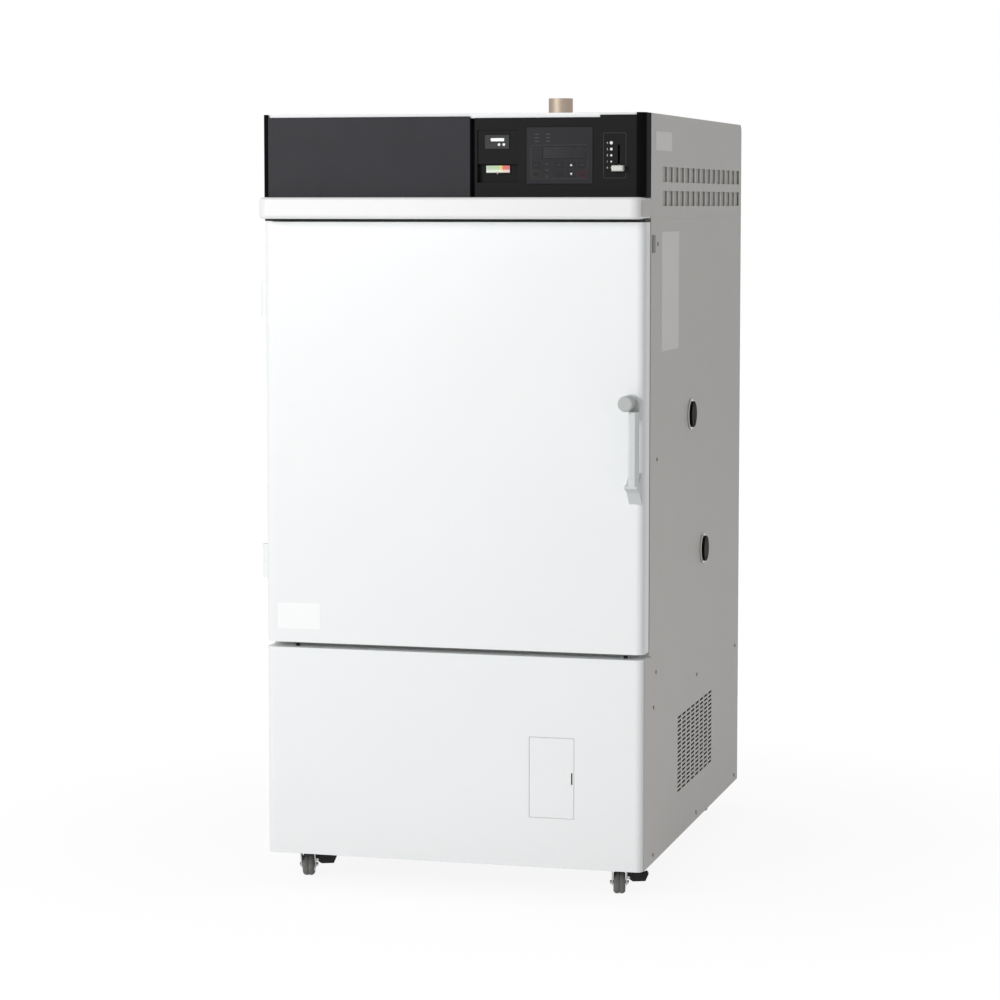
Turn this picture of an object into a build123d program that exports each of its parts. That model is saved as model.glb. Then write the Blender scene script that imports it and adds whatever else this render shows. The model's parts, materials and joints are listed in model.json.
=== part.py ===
from build123d import *
import math
import os

os.makedirs("parts", exist_ok=True)

# Cleanroom oven on four casters, about 0.9 m wide, 1.2 m deep and 1.8 m high.
# The shop frame used while building: x runs to the right and is 0 at the middle of the body,
# y runs from the door's face to the back, z runs up from the floor.
# Every piece is moved once, as it is written, so that the origin is under the middle of the whole.

# Chamber and the air path round it
chamber_size = 600.0
chamber_depth = 600.0
duct_gap = 50.0
liner_sheet = 1.5
insulation_wall = 60.0
skin_gap = 16.9
filter_gap = 5.0
filter_depth = 70.0
filter_border = 20.0
pleat_count = 14
pleat_rise = 16.0
pleat_thickness = 40.0
heater_bay = 53.0
heater_offset = 22.0
heater_rod_radius = 5.0
heater_pitch = 90.0
fan_gap = 10.0
fan_width = 55.0
fan_radius = 125.0
fan_ring_width = 24.0
fan_blades = 16
fan_clear = 25.0
shaft_radius = 6.0
shaft_hole_gap = 3.0
motor_bay = 189.5
motor_plate = 4.0
motor_radius = 66.0
motor_length = 116.0
motor_shaft_hold = 40.0
air_slot = (90.0, 18.0)
air_pitch = (120.0, 83.0)
wall_slot = (64.0, 24.0)
wall_pitch = (90.0, 67.9)
duct_half = 30.0
duct_length = 60.0
duct_height = 60.0

# Shelves
shelf_first = 190.0
shelf_pitch = 200.0
shelf_height = 16.0
shelf_side_gap = 8.0
shelf_slot = (84.0, 26.0)
shelf_slot_pitch = (110.0, 65.0)
rail_leg = 25.0
rail_web = 22.0

# Sheet metal and frame
sheet = 1.6
corner_radius = 18.0
frame_front_y = 60.0
frame_plate = 2.0
post_depth = 78.0
post_drop = 84.0
lower_height = 465.0
lower_return = 76.0
door_gap = 12.0
door_overlap = 166.0
trim_gap = 6.5
trim_height = 47.0
trim_reach = 45.0
trim_corner = 24.0
trim_round = 8.0
fascia_height = 180.5
roof_skirt = 24.0
roof_lip = 10.5
roof_lip_y = 8.0
rail_width = 40.0
frame_front_set = 20.0
cross_members = 2
corner_plate = 110.0
corner_plate_thickness = 5.0

# Door
door_thickness = 52.0
door_sheet = 1.2
liner_skin = 1.6
plug_margin = 15.0
plug_reach = 25.0
gasket_offset = 8.0
gasket_width = 24.0
gasket_bevel = 3.0
seal_clearance = 0.3
hinge_height = 76.0
hinge_up = 137.0
hinge_down = 209.0
hinge_leaf = 2.0
hinge_bracket_reach = 48.0
hinge_split = 0.3
knuckle_radius = 11.0
knuckle_web = 8.0
hinge_pin_radius = 4.0
hinge_y = 50.0
run_clearance = 0.05
free_clearance = 0.5
door_open_deg = 120.0

# Handle and latch on the door
handle_inset = 15.0
button_offset = 14.0
button_up = 81.0
button_radius = 17.0
button_height = 12.0
button_travel = 6.0
button_stem_radius = 6.0
button_stem_end = 12.0
handle_foot_drop = 220.0
handle_grip_drop = 178.0
grip_width = 20.0
grip_depth = 22.0
grip_stand = 50.0
boss_stand = 26.0
shoulder_height = 20.0
foot_flare = 8.0
latch_reach = 68.0
latch_travel = 4.5
tongue_front_y = 20.0
tongue_offset = 3.0
tongue_thickness = 5.0
tongue_half_height = 6.0
tongue_foot = 8.0
keeper_gap = 2.0
keeper_half_height = 14.0
latch_pocket = 21.0

# Black instrument fascia above the trim
left_cheek = 11.0
right_cheek = 19.5
blank_drop = 6.5
control_drop = 10.0
step_drop = 5.0
control_width = 378.0
fascia_gap = 10.0
step_width = 100.5
fascia_face_y = 4.0
fascia_wall = 3.0
fascia_depth = 25.0
blank_face_y = 2.0
module_offset = (6.0, 31.5)
module_size = (90.0, 113.0)
module_shelf_up = 39.7
recess_y = 7.0
guard_offset = (17.0, 72.7)
guard_size = (53.6, 29.3)
gauge_offset = (17.0, 19.0)
gauge_size = (53.6, 18.2)
gauge_face_y = 14.0
key_offsets = ((31.7, 8.8), (42.4, 8.8))
key_radius = 3.0
key_travel = 1.0
controller_offset = (116.0, 28.5)
controller_size = (146.0, 121.5)
controller_gap = 0.4
controller_flange = 7.0
keypad_low = (9.6, 10.4)
keypad_size = (127.4, 72.9)
display_low = (35.4, 53.7)
display_size = (100.0, 26.9)
lever_inset = 59.0
lever_up = 61.3
lever_travel = 45.0
knob_size = (25.5, 12.6)
knob_reach = 13.0

# Vents, ports and exhaust
louvre_pitch = 62.3
louvre_width = 50.0
louvre_height = 33.0
louvre_first_y = 178.0
louvre_rear_margin = 30.0
louvre_rows_up = (28.0, 80.5)
baffle_gap = 2.5
baffle_sheet = 1.2
grille_columns = 8
grille_rows = 18
grille_pitch_y = 52.3
grille_pitch_z = 9.95
grille_slot = (40.0, 5.0)
grille_first_y = 396.0
grille_up = 109.0
upper_port_offset = (158.5, 22.8)
lower_port_offset = (3.4, 4.8)
port_bore_radius = 25.0
port_wall = 2.5
port_hole_gap = 0.5
port_ring_radius = 35.0
port_ring_thickness = 4.0
port_cap_radius = 30.0
port_cap_thickness = 6.0
port_plug_depth = 40.0
exhaust_radius = 30.0
exhaust_inset = 131.0
exhaust_rise = 65.0
exhaust_wall = 1.5
damper_drop = 74.0
damper_shaft_radius = 4.0
rear_slot = (120.0, 6.0)
rear_slot_rows = 9
rear_slot_pitch = 15.0

# Supply gland at the back
gland_inset = 100.0
gland_up = 109.0
gland_radius = 12.0
gland_reach = 22.0
gland_nut = 17.0
gland_nut_thickness = 6.0
gland_bush = 14.0
cable_radius = 7.0

# Breaker behind its flap in the lower panel
flap_inset = 254.0
flap_width = 100.0
flap_up = 110.5
flap_height = 177.0
flap_gap = 0.6
flap_notch = (3.0, 26.0)
pocket_back_y = 62.0
pocket_margin = 3.0
breaker_half = (30.0, 55.0)
breaker_face_y = 24.0
lever_pivot_y = 34.0
lever_drum_radius = 8.0
lever_half_width = 8.7
lever_lean_deg = 20.0

# Casters
caster_inset = 69.0
caster_front_y = 80.0
caster_rear_inset = 101.0
wheel_radius = 25.0
wheel_width = 27.0
wheel_shoulder = 5.0
wheel_gap = 9.6
crown_height = 8.0
crown_radius = 24.0
race_gap = 0.4
caster_trail = 22.0
caster_turn_deg = 13.0
caster_plate = 3.0
kingpin_radius = 5.0
axle_radius = 4.0
fork_wall = 2.5
side_gap = 1.0
pedal_gap = 0.4
pedal_barrel = 3.0
pedal_pin_radius = 1.5
pedal_pivot_z = 38.0
pedal_width = 20.0
pedal_ear = 2.0

# Screws and stops
screw_radius = 4.5
screw_height = 1.8
bumper_radius = 4.5
bumper_height = 6.0

# Widths, worked out from the chamber outwards
inner_half = chamber_size / 2
liner_half = inner_half + duct_gap
shell_half = liner_half + liner_sheet
insulation_half = shell_half + insulation_wall
half = insulation_half + skin_gap + sheet
inside = half - sheet
hinge_x = -half - knuckle_radius - free_clearance
port_face_x = half + port_ring_thickness + port_cap_thickness

# Depths, from the door's face to the back
chamber_front = frame_front_y + frame_plate
chamber_back = chamber_front + chamber_depth
filter_back = chamber_back + filter_gap + filter_depth
plenum_back = filter_back + heater_bay
fan_front_y = plenum_back + fan_gap
liner_back = fan_front_y + fan_width + fan_clear
shell_back = liner_back + liner_sheet
motor_front_y = shell_back + insulation_wall
body_depth = motor_front_y + motor_bay
post_back = frame_front_y + post_depth
exhaust_y = body_depth - exhaust_inset
duct_mouth_y = (plenum_back, plenum_back + duct_length)
button_front_y = -grip_stand - button_height

# Heights, from the floor up
plate_low = 2 * wheel_radius + wheel_gap + crown_height + race_gap
underside_z = plate_low + caster_plate
lower_top_z = underside_z + lower_height
post_foot_z = lower_top_z - post_drop
door_low_z = lower_top_z + door_gap
chamber_low = door_low_z + door_overlap
chamber_mid_z = chamber_low + inner_half
chamber_high = chamber_low + chamber_size
insulation_top = chamber_mid_z + insulation_half
door_high_z = chamber_high + door_overlap
trim_low_z = door_high_z + trim_gap
trim_top_z = trim_low_z + trim_height
roof_z = trim_top_z + fascia_height
skirt_low_z = roof_z - roof_skirt
lip_low_z = roof_z - roof_lip
damper_z = roof_z - damper_drop
rail_levels = [
    chamber_low + shelf_first + step * shelf_pitch
    for step in range(int((chamber_size - shelf_first - shelf_pitch / 2) // shelf_pitch) + 1)
]

# Places on the door, the fascia and the sides
hinge_lows = (door_low_z + hinge_up, door_high_z - hinge_down)
handle_x = half - handle_inset
button_x = handle_x - button_offset
button_z = chamber_mid_z + button_up
handle_low_z = button_z - handle_foot_drop
handle_grip_z = button_z - handle_grip_drop
tongue_right_x = button_x + tongue_offset
tongue_left_x = tongue_right_x - tongue_thickness
keeper_x = (tongue_left_x - latch_travel - keeper_gap, tongue_right_x + keeper_gap)
keeper_z = (button_z - keeper_half_height, button_z + keeper_half_height)
control_left_x = half - control_width
control_right_x = half - right_cheek
blank_right_x = control_left_x - fascia_gap
step_x = half - step_width
lever_slot_x = half - lever_inset
lever_low_z = trim_top_z + lever_up
port_places = (
    (chamber_back - upper_port_offset[0], chamber_mid_z + upper_port_offset[1]),
    (chamber_back - lower_port_offset[0], chamber_low - lower_port_offset[1]),
)
gland_x = half - gland_inset
gland_z = underside_z + gland_up
flap_left_x = half - flap_inset
flap_right_x = flap_left_x + flap_width
flap_low_z = underside_z + flap_up
flap_high_z = flap_low_z + flap_height
breaker_mid_x = (flap_left_x + flap_right_x) / 2
breaker_mid_z = (flap_low_z + flap_high_z) / 2
flap_axis = (flap_left_x + sheet / 2, sheet / 2)
caster_x = half - caster_inset
caster_rear_y = body_depth - caster_rear_inset
leg_outer = wheel_width / 2 + side_gap + fork_wall
pedal_pivot_x = leg_outer + pedal_gap + pedal_barrel

# Middle of the whole, which is where the origin goes
left_reach = hinge_x - knuckle_radius
middle_x = (left_reach + port_face_x) / 2
middle_y = (button_front_y + body_depth + gland_reach) / 2


# Helpers
def block(x, y, z):
    """A box from its low and high value on each axis."""
    size = Box(x[1] - x[0], y[1] - y[0], z[1] - z[0])
    return Pos((x[0] + x[1]) / 2, (y[0] + y[1]) / 2, (z[0] + z[1]) / 2) * size


def rod_x(radius, x, y, z):
    return Pos((x[0] + x[1]) / 2, y, z) * Rot(0, 90, 0) * Cylinder(radius, x[1] - x[0])


def rod_y(radius, x, y, z):
    return Pos(x, (y[0] + y[1]) / 2, z) * Rot(90, 0, 0) * Cylinder(radius, y[1] - y[0])


def rod_z(radius, x, y, z):
    return Pos(x, y, (z[0] + z[1]) / 2) * Cylinder(radius, z[1] - z[0])


def about(middle, reach):
    """Low and high value the same way from a middle."""
    return (middle - reach, middle + reach)


def window(low, size):
    """The x and z ranges of a window from its lower left corner and its size."""
    return (low[0], low[0] + size[0]), (low[1], low[1] + size[1])


def on_side(side, inner, outer):
    """An x range at one side of the body, in rising order."""
    return tuple(sorted((side * inner, side * outer)))


def spread(low, high, length, pitch, margin):
    """Middles of as many cuts of one length as fit between two edges, evenly about their middle."""
    count = int((high - low - 2 * margin - length) // pitch) + 1
    first = (low + high - (count - 1) * pitch) / 2
    return [first + index * pitch for index in range(count)]


def upright_edges(shape, y_limit):
    """The vertical edges that lie in front of y_limit."""
    return [e for e in shape.edges().filter_by(Axis.Z) if e.center().Y < y_limit]


def rear_top_edges(shape, y_limit, z_limit):
    """The long edge between the top and the back."""
    along = shape.edges().filter_by(Axis.X)
    return [e for e in along if e.center().Y > y_limit and e.center().Z > z_limit]


def edges_at_y(shape, y):
    return [e for e in shape.edges() if abs(e.center().Y - y) < 0.1]


def profile_x(points, x):
    """A (y, z) outline carried along x."""
    outline = make_face(Polyline(*[(0, p[0], p[1]) for p in points], close=True))
    return Pos(x[0], 0, 0) * extrude(outline, x[1] - x[0], dir=(1, 0, 0))


def save(name, *solids):
    """Writes one sub-part, moved so that the origin is under the middle of the whole."""
    moved = [Pos(-middle_x, -middle_y, 0) * s for s in solids]
    shape = moved[0] if len(moved) == 1 else Compound(children=moved)
    shape.label = name
    export_step(shape, f"parts/{name}.step")


# Base frame and sheet metal
def base_frame():
    """Welded ring with cross members and plates for the casters, open below for the cooling air."""
    front, back = frame_front_set, body_depth - sheet
    low, high = underside_z, underside_z + rail_width
    opening_x = (-inside + rail_width, inside - rail_width)
    ring = block((-inside, inside), (front, back), (low, high))
    ring -= block(opening_x, (front + rail_width, back - rail_width), (low - 1, high + 1))
    bay = (back - front) / (cross_members + 1)
    for index in range(cross_members):
        y = front + (index + 1) * bay - rail_width / 2
        ring += block(opening_x, (y, y + rail_width), (low, high))
    for side in (-1, 1):
        for y in (front, back - corner_plate):
            x = on_side(side, inside - corner_plate, inside)
            ring += block(x, (y, y + corner_plate), (low, low + corner_plate_thickness))
    return ring


def front_frame():
    """Door frame of flat bars and side posts; the right stile leaves the latch's keeper slot."""
    y = (frame_front_y, chamber_front)
    mouth_z = (chamber_low, chamber_high)
    head = block((-half, half), y, (chamber_high, trim_low_z))
    head += block((-inside, inside), y, (trim_low_z, trim_top_z))
    sill = block((-half, half), y, (lower_top_z, chamber_low))
    bars = [head, sill, block((-half, -inner_half), y, mouth_z)]
    bars.append(block((inner_half, keeper_x[0]), y, mouth_z))
    bars.append(block((keeper_x[1], half), y, mouth_z))
    bars.append(block(keeper_x, y, (chamber_low, keeper_z[0])))
    bars.append(block(keeper_x, y, (keeper_z[1], chamber_high)))
    for side in (-1, 1):
        x = on_side(side, inside, half)
        post = block(x, (chamber_front, post_back), (lower_top_z, trim_low_z))
        bars.append(post + block(x, (lower_return, post_back), (post_foot_z, lower_top_z)))
    return bars


def side_panel(side):
    """Flat side sheet whose front edge steps round the door frame's post."""
    x = on_side(side, inside, half)
    panel = block(x, (lower_return, body_depth), (underside_z, post_foot_z))
    return panel + block(x, (post_back, body_depth), (post_foot_z, trim_low_z))


def grille_cuts():
    """Rows of horizontal slots in the lower right side."""
    length, height = grille_slot
    cuts = []
    for column in range(grille_columns):
        for row in range(grille_rows):
            y = grille_first_y + column * grille_pitch_y
            z = underside_z + grille_up + row * grille_pitch_z
            cuts.append(block(about(half, 5), about(y, length / 2), about(z, height / 2)))
    return cuts


def port_holes(x):
    """Clearance holes for both port sleeves between two values of x."""
    return [rod_x(port_bore_radius + port_wall + port_hole_gap, x, y, z) for y, z in port_places]


def right_side_panel():
    """Right side sheet with the slotted grille and the two port holes."""
    return side_panel(1) - grille_cuts() - port_holes(about(half, 5))


def louvre_panel(side):
    """Upper side sheet with two rows of windows, each row with a flat baffle close behind it."""
    panel = block(on_side(side, inside, half), (frame_front_y, body_depth), (trim_low_z, roof_z))
    panel = fillet(rear_top_edges(panel, body_depth - 1, roof_z - 1), corner_radius)
    room = body_depth - louvre_rear_margin - louvre_width - louvre_first_y
    places = [louvre_first_y + index * louvre_pitch for index in range(int(room // louvre_pitch) + 1)]
    rows = [trim_low_z + up for up in louvre_rows_up]
    wide = on_side(side, half - 5, half + 5)
    panel -= [block(wide, (y, y + louvre_width), (z, z + louvre_height)) for y in places for z in rows]
    baffle_y = (places[0] - 5, places[-1] + louvre_width + 5)
    for z in rows:
        top = z + louvre_height + 2.0
        back = inside - baffle_gap - baffle_sheet
        baffle = block(on_side(side, back, inside + sheet / 2), baffle_y, (top, top + baffle_sheet))
        baffle += block(on_side(side, back, inside - baffle_gap), baffle_y, (z - 4, top + baffle_sheet))
        panel += baffle
    return panel


def top_cover():
    """Roof sheet with a front lip, a rolled rear edge and the exhaust hole."""
    front, back = roof_lip_y, body_depth
    shell = block((-inside, inside), (front, back), (skirt_low_z, roof_z))
    shell = fillet(rear_top_edges(shell, back - 1, roof_z - 1), corner_radius)
    hollow_z = (skirt_low_z - 1, roof_z - sheet)
    hollow = block((-inside - 1, inside + 1), (front + sheet, back - sheet), hollow_z)
    shell -= fillet(rear_top_edges(hollow, back - sheet - 1, roof_z - 3), corner_radius - sheet)
    for side, cheek in ((-1, left_cheek), (1, right_cheek)):
        corner = on_side(side, half - cheek, half + 1)
        shell -= block(corner, (0, frame_front_y), (skirt_low_z - 1, roof_z + 1))
    shell -= block((-inside - 1, inside + 1), (0, frame_front_y), (skirt_low_z - 1, lip_low_z))
    return shell - rod_z(exhaust_radius + 1.0, 0, exhaust_y, about(roof_z, 10))


def rear_panel():
    """Back sheet with motor-cooling slots and the cable gland's hole."""
    back = (body_depth - sheet, body_depth)
    panel = block((-inside, inside), back, (underside_z, skirt_low_z))
    length, height = rear_slot
    cuts = []
    for side in (-1, 1):
        for row in range(rear_slot_rows):
            z = chamber_mid_z + (row - (rear_slot_rows - 1) / 2) * rear_slot_pitch
            x = on_side(side, length / 6, length * 7 / 6)
            cuts.append(block(x, about(body_depth, 5), about(z, height / 2)))
    return panel - cuts - rod_y(gland_radius, gland_x, about(body_depth, 5), gland_z)


def power_gland():
    """Cable gland for the supply lead: six-sided nut, collar and a bushing through the sheet."""
    nut_back = body_depth + gland_nut_thickness
    nut = extrude(RegularPolygon(gland_nut, 6), gland_nut_thickness)
    body = Pos(gland_x, nut_back, gland_z) * Rot(90, 0, 0) * nut
    body += rod_y(gland_radius + 1, gland_x, (nut_back, body_depth + gland_reach), gland_z)
    body += rod_y(gland_radius - 0.2, gland_x, (body_depth - gland_bush, body_depth), gland_z)
    bore = (body_depth - gland_bush - 1, body_depth + gland_reach + 1)
    return body - rod_y(cable_radius, gland_x, bore, gland_z)


def lower_front_panel():
    """Folded lower front with rounded uprights, a closed top and the breaker flap's opening."""
    shell = block((-half, half), (0, lower_return), (underside_z, lower_top_z))
    shell = fillet(upright_edges(shell, 1.0), corner_radius)
    hollow_z = (underside_z - 1, lower_top_z - sheet)
    hollow = block((-inside, inside), (sheet, lower_return + 1), hollow_z)
    shell -= fillet(upright_edges(hollow, sheet + 1.0), corner_radius - sheet)
    notch = (lower_top_z - sheet - 1, lower_top_z + 1)
    shell -= block((-half - 1, half + 1), (frame_front_y, lower_return + 1), notch)
    opening_x = (flap_left_x - flap_gap, flap_right_x + flap_gap)
    return shell - block(opening_x, (-1, sheet + 1), (flap_low_z - flap_gap, flap_high_z + flap_gap))


def visor_trim():
    """White band above the door, which stands out over it with rounded ends."""
    shell = block((-half, half), (-trim_reach, frame_front_y), (trim_low_z, trim_top_z))
    shell = fillet(upright_edges(shell, -trim_reach + 1), trim_corner)
    rim = []
    for edge in shell.edges():
        from_middle = abs(edge.center().Z - (trim_low_z + trim_top_z) / 2)
        if edge.center().Y < -trim_reach + trim_corner + 6 and from_middle > trim_height / 2 - 1:
            rim.append(edge)
    shell = fillet(rim, trim_round)
    hollow_x = (-half + trim_corner, half - trim_corner)
    hollow_z = (trim_low_z + trim_round, trim_top_z - trim_round)
    return shell - block(hollow_x, (-trim_reach + trim_round, frame_front_y + 1), hollow_z)


def side_screws():
    """Heads of the sheet screws: three up each post, and two rows along each lower side."""
    post_y = post_back - 7.0
    top_z, foot_z = trim_low_z - 54.5, post_foot_z + 40.0
    places = [(post_y, top_z), (post_y, (top_z + foot_z) / 2), (post_y, foot_z)]
    front_y, back_y = lower_return + 31.0, body_depth - 46.0
    for z in (post_foot_z - 34.5, underside_z + 17.5):
        places += [(front_y, z), ((front_y + back_y) / 2, z), (back_y, z)]
    heads = []
    for side in (-1, 1):
        for y, z in places:
            head = extrude(RegularPolygon(screw_radius, 8), screw_height)
            heads.append(Pos(side * half, y, z) * Rot(0, side * 90, 0) * head)
    return heads


def door_bumpers():
    """Two small rubber stops on the ledge under the door."""
    z = (lower_top_z, lower_top_z + bumper_height)
    return [rod_z(bumper_radius, x, door_thickness / 2, z) for x in (-half + 66.0, half - 45.0)]


# Chamber, filter, heater and fan
def ring_box(half_size, y):
    """A square block about the chamber's middle line."""
    return block((-half_size, half_size), y, about(chamber_mid_z, half_size))


def chamber_liner():
    """Stainless outer box of the air path, open at the front."""
    box = ring_box(shell_half, (chamber_front, shell_back))
    box -= ring_box(liner_half, (chamber_front - 1, liner_back))
    box -= port_holes((liner_half - 5, shell_half + 5))
    box -= rod_y(shaft_radius + shaft_hole_gap, 0, (liner_back - 5, shell_back + 5), chamber_mid_z)
    top = chamber_mid_z + shell_half
    return box - block((-duct_half, duct_half), duct_mouth_y, about(top, 10))


def chamber_insulation():
    """Blanket round the liner, open at the front, with a pocket behind the keeper slot."""
    box = ring_box(insulation_half, (chamber_front, motor_front_y))
    box -= ring_box(shell_half, (chamber_front - 1, shell_back))
    box -= port_holes((shell_half - 5, insulation_half + 5))
    box -= rod_y(shaft_radius + shaft_hole_gap, 0, (shell_back - 5, motor_front_y + 5), chamber_mid_z)
    pocket_x = (keeper_x[0] - 6, insulation_half + 1)
    pocket_z = (keeper_z[0] - 6, keeper_z[1] + 6)
    box -= block(pocket_x, (chamber_front - 1, latch_reach + 12), pocket_z)
    mouth_z = (insulation_top - insulation_wall - 5, insulation_top + 5)
    return box - block((-duct_half, duct_half), duct_mouth_y, mouth_z)


def inner_box():
    """Chamber floor, roof and slotted back wall in one folded piece."""
    x = (-inner_half, inner_half)
    box = block(x, (chamber_front, plenum_back), (chamber_low - liner_sheet, chamber_low))
    box += block(x, (chamber_front, plenum_back), (chamber_high, chamber_high + liner_sheet))
    wall = block(x, (chamber_back, chamber_back + liner_sheet), (chamber_low, chamber_high))
    length, height = wall_slot
    cuts = []
    for across in spread(-inner_half, inner_half, length, wall_pitch[0], 40.0):
        for up in spread(chamber_low, chamber_high, height, wall_pitch[1], 45.0):
            cuts.append(block(about(across, length / 2), about(chamber_back, 5), about(up, height / 2)))
    return box + (wall - cuts)


def air_wall(side):
    """Side wall of the chamber, slotted for the return air and cut where the upper port comes in."""
    wall_z = (chamber_low - liner_sheet, chamber_high + liner_sheet)
    x = on_side(side, inner_half, inner_half + liner_sheet)
    wall = block(x, (chamber_front, chamber_back), wall_z)
    wide = on_side(side, inner_half - 3, inner_half + 5)
    length, height = air_slot
    port_y, port_z = port_places[0]
    cuts = []
    for along in spread(chamber_front, chamber_back, length, air_pitch[0], 14.0):
        for up in spread(chamber_low, chamber_high, height, air_pitch[1], 40.0):
            beside_port = abs(along - port_y) < length and abs(up - port_z) < 2 * port_bore_radius
            if side < 0 or not beside_port:
                cuts.append(block(wide, about(along, length / 2), about(up, height / 2)))
    if side > 0:
        cuts += port_holes(wide)[:1]
    return wall - cuts


def shelf_rails():
    """Angle rails on the side walls that carry the shelves."""
    y = (chamber_front + 20.0, chamber_back - 10.0)
    rails = []
    for side in (-1, 1):
        for level in rail_levels:
            leg = block(on_side(side, inner_half - rail_leg, inner_half), y, (level - liner_sheet, level))
            web = block(on_side(side, inner_half - liner_sheet, inner_half), y, (level, level + rail_web))
            rails.append(leg + web)
    return rails


def shelf(level):
    """Slotted shelf with turned-down edges, resting on its pair of rails."""
    width = inner_half - shelf_side_gap
    front, back = chamber_front + 33.0, chamber_back - 25.0
    top = level + shelf_height
    tray = block((-width, width), (front, back), (level, top))
    hollow_x = (-width + liner_sheet, width - liner_sheet)
    hollow_y = (front + liner_sheet, back - liner_sheet)
    tray -= block(hollow_x, hollow_y, (level - 1, top - liner_sheet))
    length, height = shelf_slot
    cuts = []
    for across in spread(-width, width, length, shelf_slot_pitch[0], 20.0):
        for along in spread(front, back, height, shelf_slot_pitch[1], 20.0):
            cuts.append(block(about(across, length / 2), about(along, height / 2), (level, top + 1)))
    return tray - cuts


def hepa_filter():
    """Filter frame and, inside it, the pleated pack."""
    front, back = filter_back - filter_depth, filter_back
    frame = ring_box(inner_half, (front, back))
    opening = inner_half - filter_border
    frame -= ring_box(opening, (front - 1, back + 1))
    step = opening / pleat_count
    fold = (front + 6.0, front + 6.0 + pleat_rise)
    front_line = [(-opening + index * step, fold[index % 2]) for index in range(2 * pleat_count + 1)]
    rear_line = [(x, y + pleat_thickness) for x, y in reversed(front_line)]
    low = chamber_mid_z - opening
    outline = make_face(Polyline(*[(x, y, low) for x, y in front_line + rear_line], close=True))
    return frame, extrude(outline, 2 * opening, dir=(0, 0, 1))


def heater():
    """Sheathed rods between two end plates, behind the filter."""
    y = filter_back + heater_offset
    bank = block(about(-inner_half + 13, 1), about(y, 14), (chamber_low, chamber_high))
    bank += block(about(inner_half - 13, 1), about(y, 14), (chamber_low, chamber_high))
    for z in spread(chamber_low, chamber_high, 2 * heater_rod_radius, heater_pitch, 60.0):
        bank += rod_x(heater_rod_radius, (-inner_half + 13, inner_half - 13), y, z)
    return bank


def fan_wheel():
    """Blower wheel: back plate, hub, shaft, blades and the front ring."""
    back = fan_front_y + fan_width
    wheel = rod_y(fan_radius, 0, (back - 2, back), chamber_mid_z)
    wheel += rod_y(3 * shaft_radius, 0, (back - 30, back), chamber_mid_z)
    wheel += rod_y(shaft_radius, 0, (back - 1, motor_front_y + motor_shaft_hold), chamber_mid_z)
    ring = rod_y(fan_radius, 0, (fan_front_y, fan_front_y + 2), chamber_mid_z)
    inlet = (fan_front_y - 1, fan_front_y + 3)
    wheel += ring - rod_y(fan_radius - fan_ring_width, 0, inlet, chamber_mid_z)
    for index in range(fan_blades):
        blade = Pos(fan_radius - 13, 0, 0) * Rot(0, 30, 0) * Box(22.0, fan_width - 2, 1.2)
        turn = Pos(0, fan_front_y + fan_width / 2, chamber_mid_z) * Rot(0, index * 360 / fan_blades, 0)
        wheel += turn * blade
    return wheel


def fan_motor():
    """Motor on its mounting plate behind the insulation, with a bore for the shaft."""
    plate_back = motor_front_y + motor_plate
    can_back = plate_back + motor_length
    plate_half = motor_radius * 5 / 3
    body = block(about(0, plate_half), (motor_front_y, plate_back), about(chamber_mid_z, plate_half))
    body += rod_y(motor_radius, 0, (plate_back, can_back), chamber_mid_z)
    body += rod_y(motor_radius - 8, 0, (can_back, can_back + 25), chamber_mid_z)
    box_z = (chamber_mid_z + motor_radius - 11, chamber_mid_z + motor_radius + 26)
    body += block(about(0, 35), (plate_back + 26, plate_back + 91), box_z)
    bore = (motor_front_y - 5, motor_front_y + motor_shaft_hold + 5)
    return body - rod_y(shaft_radius + run_clearance, 0, bore, chamber_mid_z)


def exhaust_duct():
    """Flat duct on the insulation that leads back to the round pipe through the roof."""
    low, high = insulation_top, insulation_top + duct_height
    width = exhaust_radius + 20.0
    y = (duct_mouth_y[0] - 20, exhaust_y + width)
    channel = block((-width, width), y, (low, high))
    bore_x = (-width + exhaust_wall, width - exhaust_wall)
    bore_y = (y[0] + exhaust_wall, y[1] - exhaust_wall)
    channel -= block(bore_x, bore_y, (low + exhaust_wall, high - exhaust_wall))
    channel -= block((-duct_half, duct_half), duct_mouth_y, (low - 1, low + 3))
    pipe_top = roof_z + exhaust_rise
    duct = channel + rod_z(exhaust_radius, 0, exhaust_y, (high - exhaust_wall, pipe_top))
    duct -= rod_z(exhaust_radius - exhaust_wall, 0, exhaust_y, (high - 5, pipe_top + 5))
    collar = rod_z(exhaust_radius + 12, 0, exhaust_y, (roof_z, roof_z + exhaust_wall))
    duct += collar - rod_z(exhaust_radius - exhaust_wall / 3, 0, exhaust_y, about(roof_z, 3))
    holes = (-exhaust_radius - 10, exhaust_radius + 10)
    return duct - rod_x(damper_shaft_radius + run_clearance, holes, exhaust_y, damper_z)


def damper_flap():
    """Butterfly disc on its shaft, flat across the exhaust pipe when shut."""
    disc = rod_z(exhaust_radius - exhaust_wall - 0.6, 0, exhaust_y, about(damper_z, 1))
    shaft = (-exhaust_radius - 8, exhaust_radius + 22)
    return disc + rod_x(damper_shaft_radius, shaft, exhaust_y, damper_z)


def port_sleeves():
    """Steel sleeves from the chamber to the right side, each with its face ring."""
    ring = (half, half + port_ring_thickness)
    sleeves = []
    for (y, z), inner_x in zip(port_places, (inner_half, liner_half)):
        sleeve = rod_x(port_bore_radius + port_wall, (inner_x, half), y, z)
        sleeve += rod_x(port_ring_radius, ring, y, z)
        sleeves.append(sleeve - rod_x(port_bore_radius, (inner_x - 5, half + 10), y, z))
    return sleeves


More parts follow.
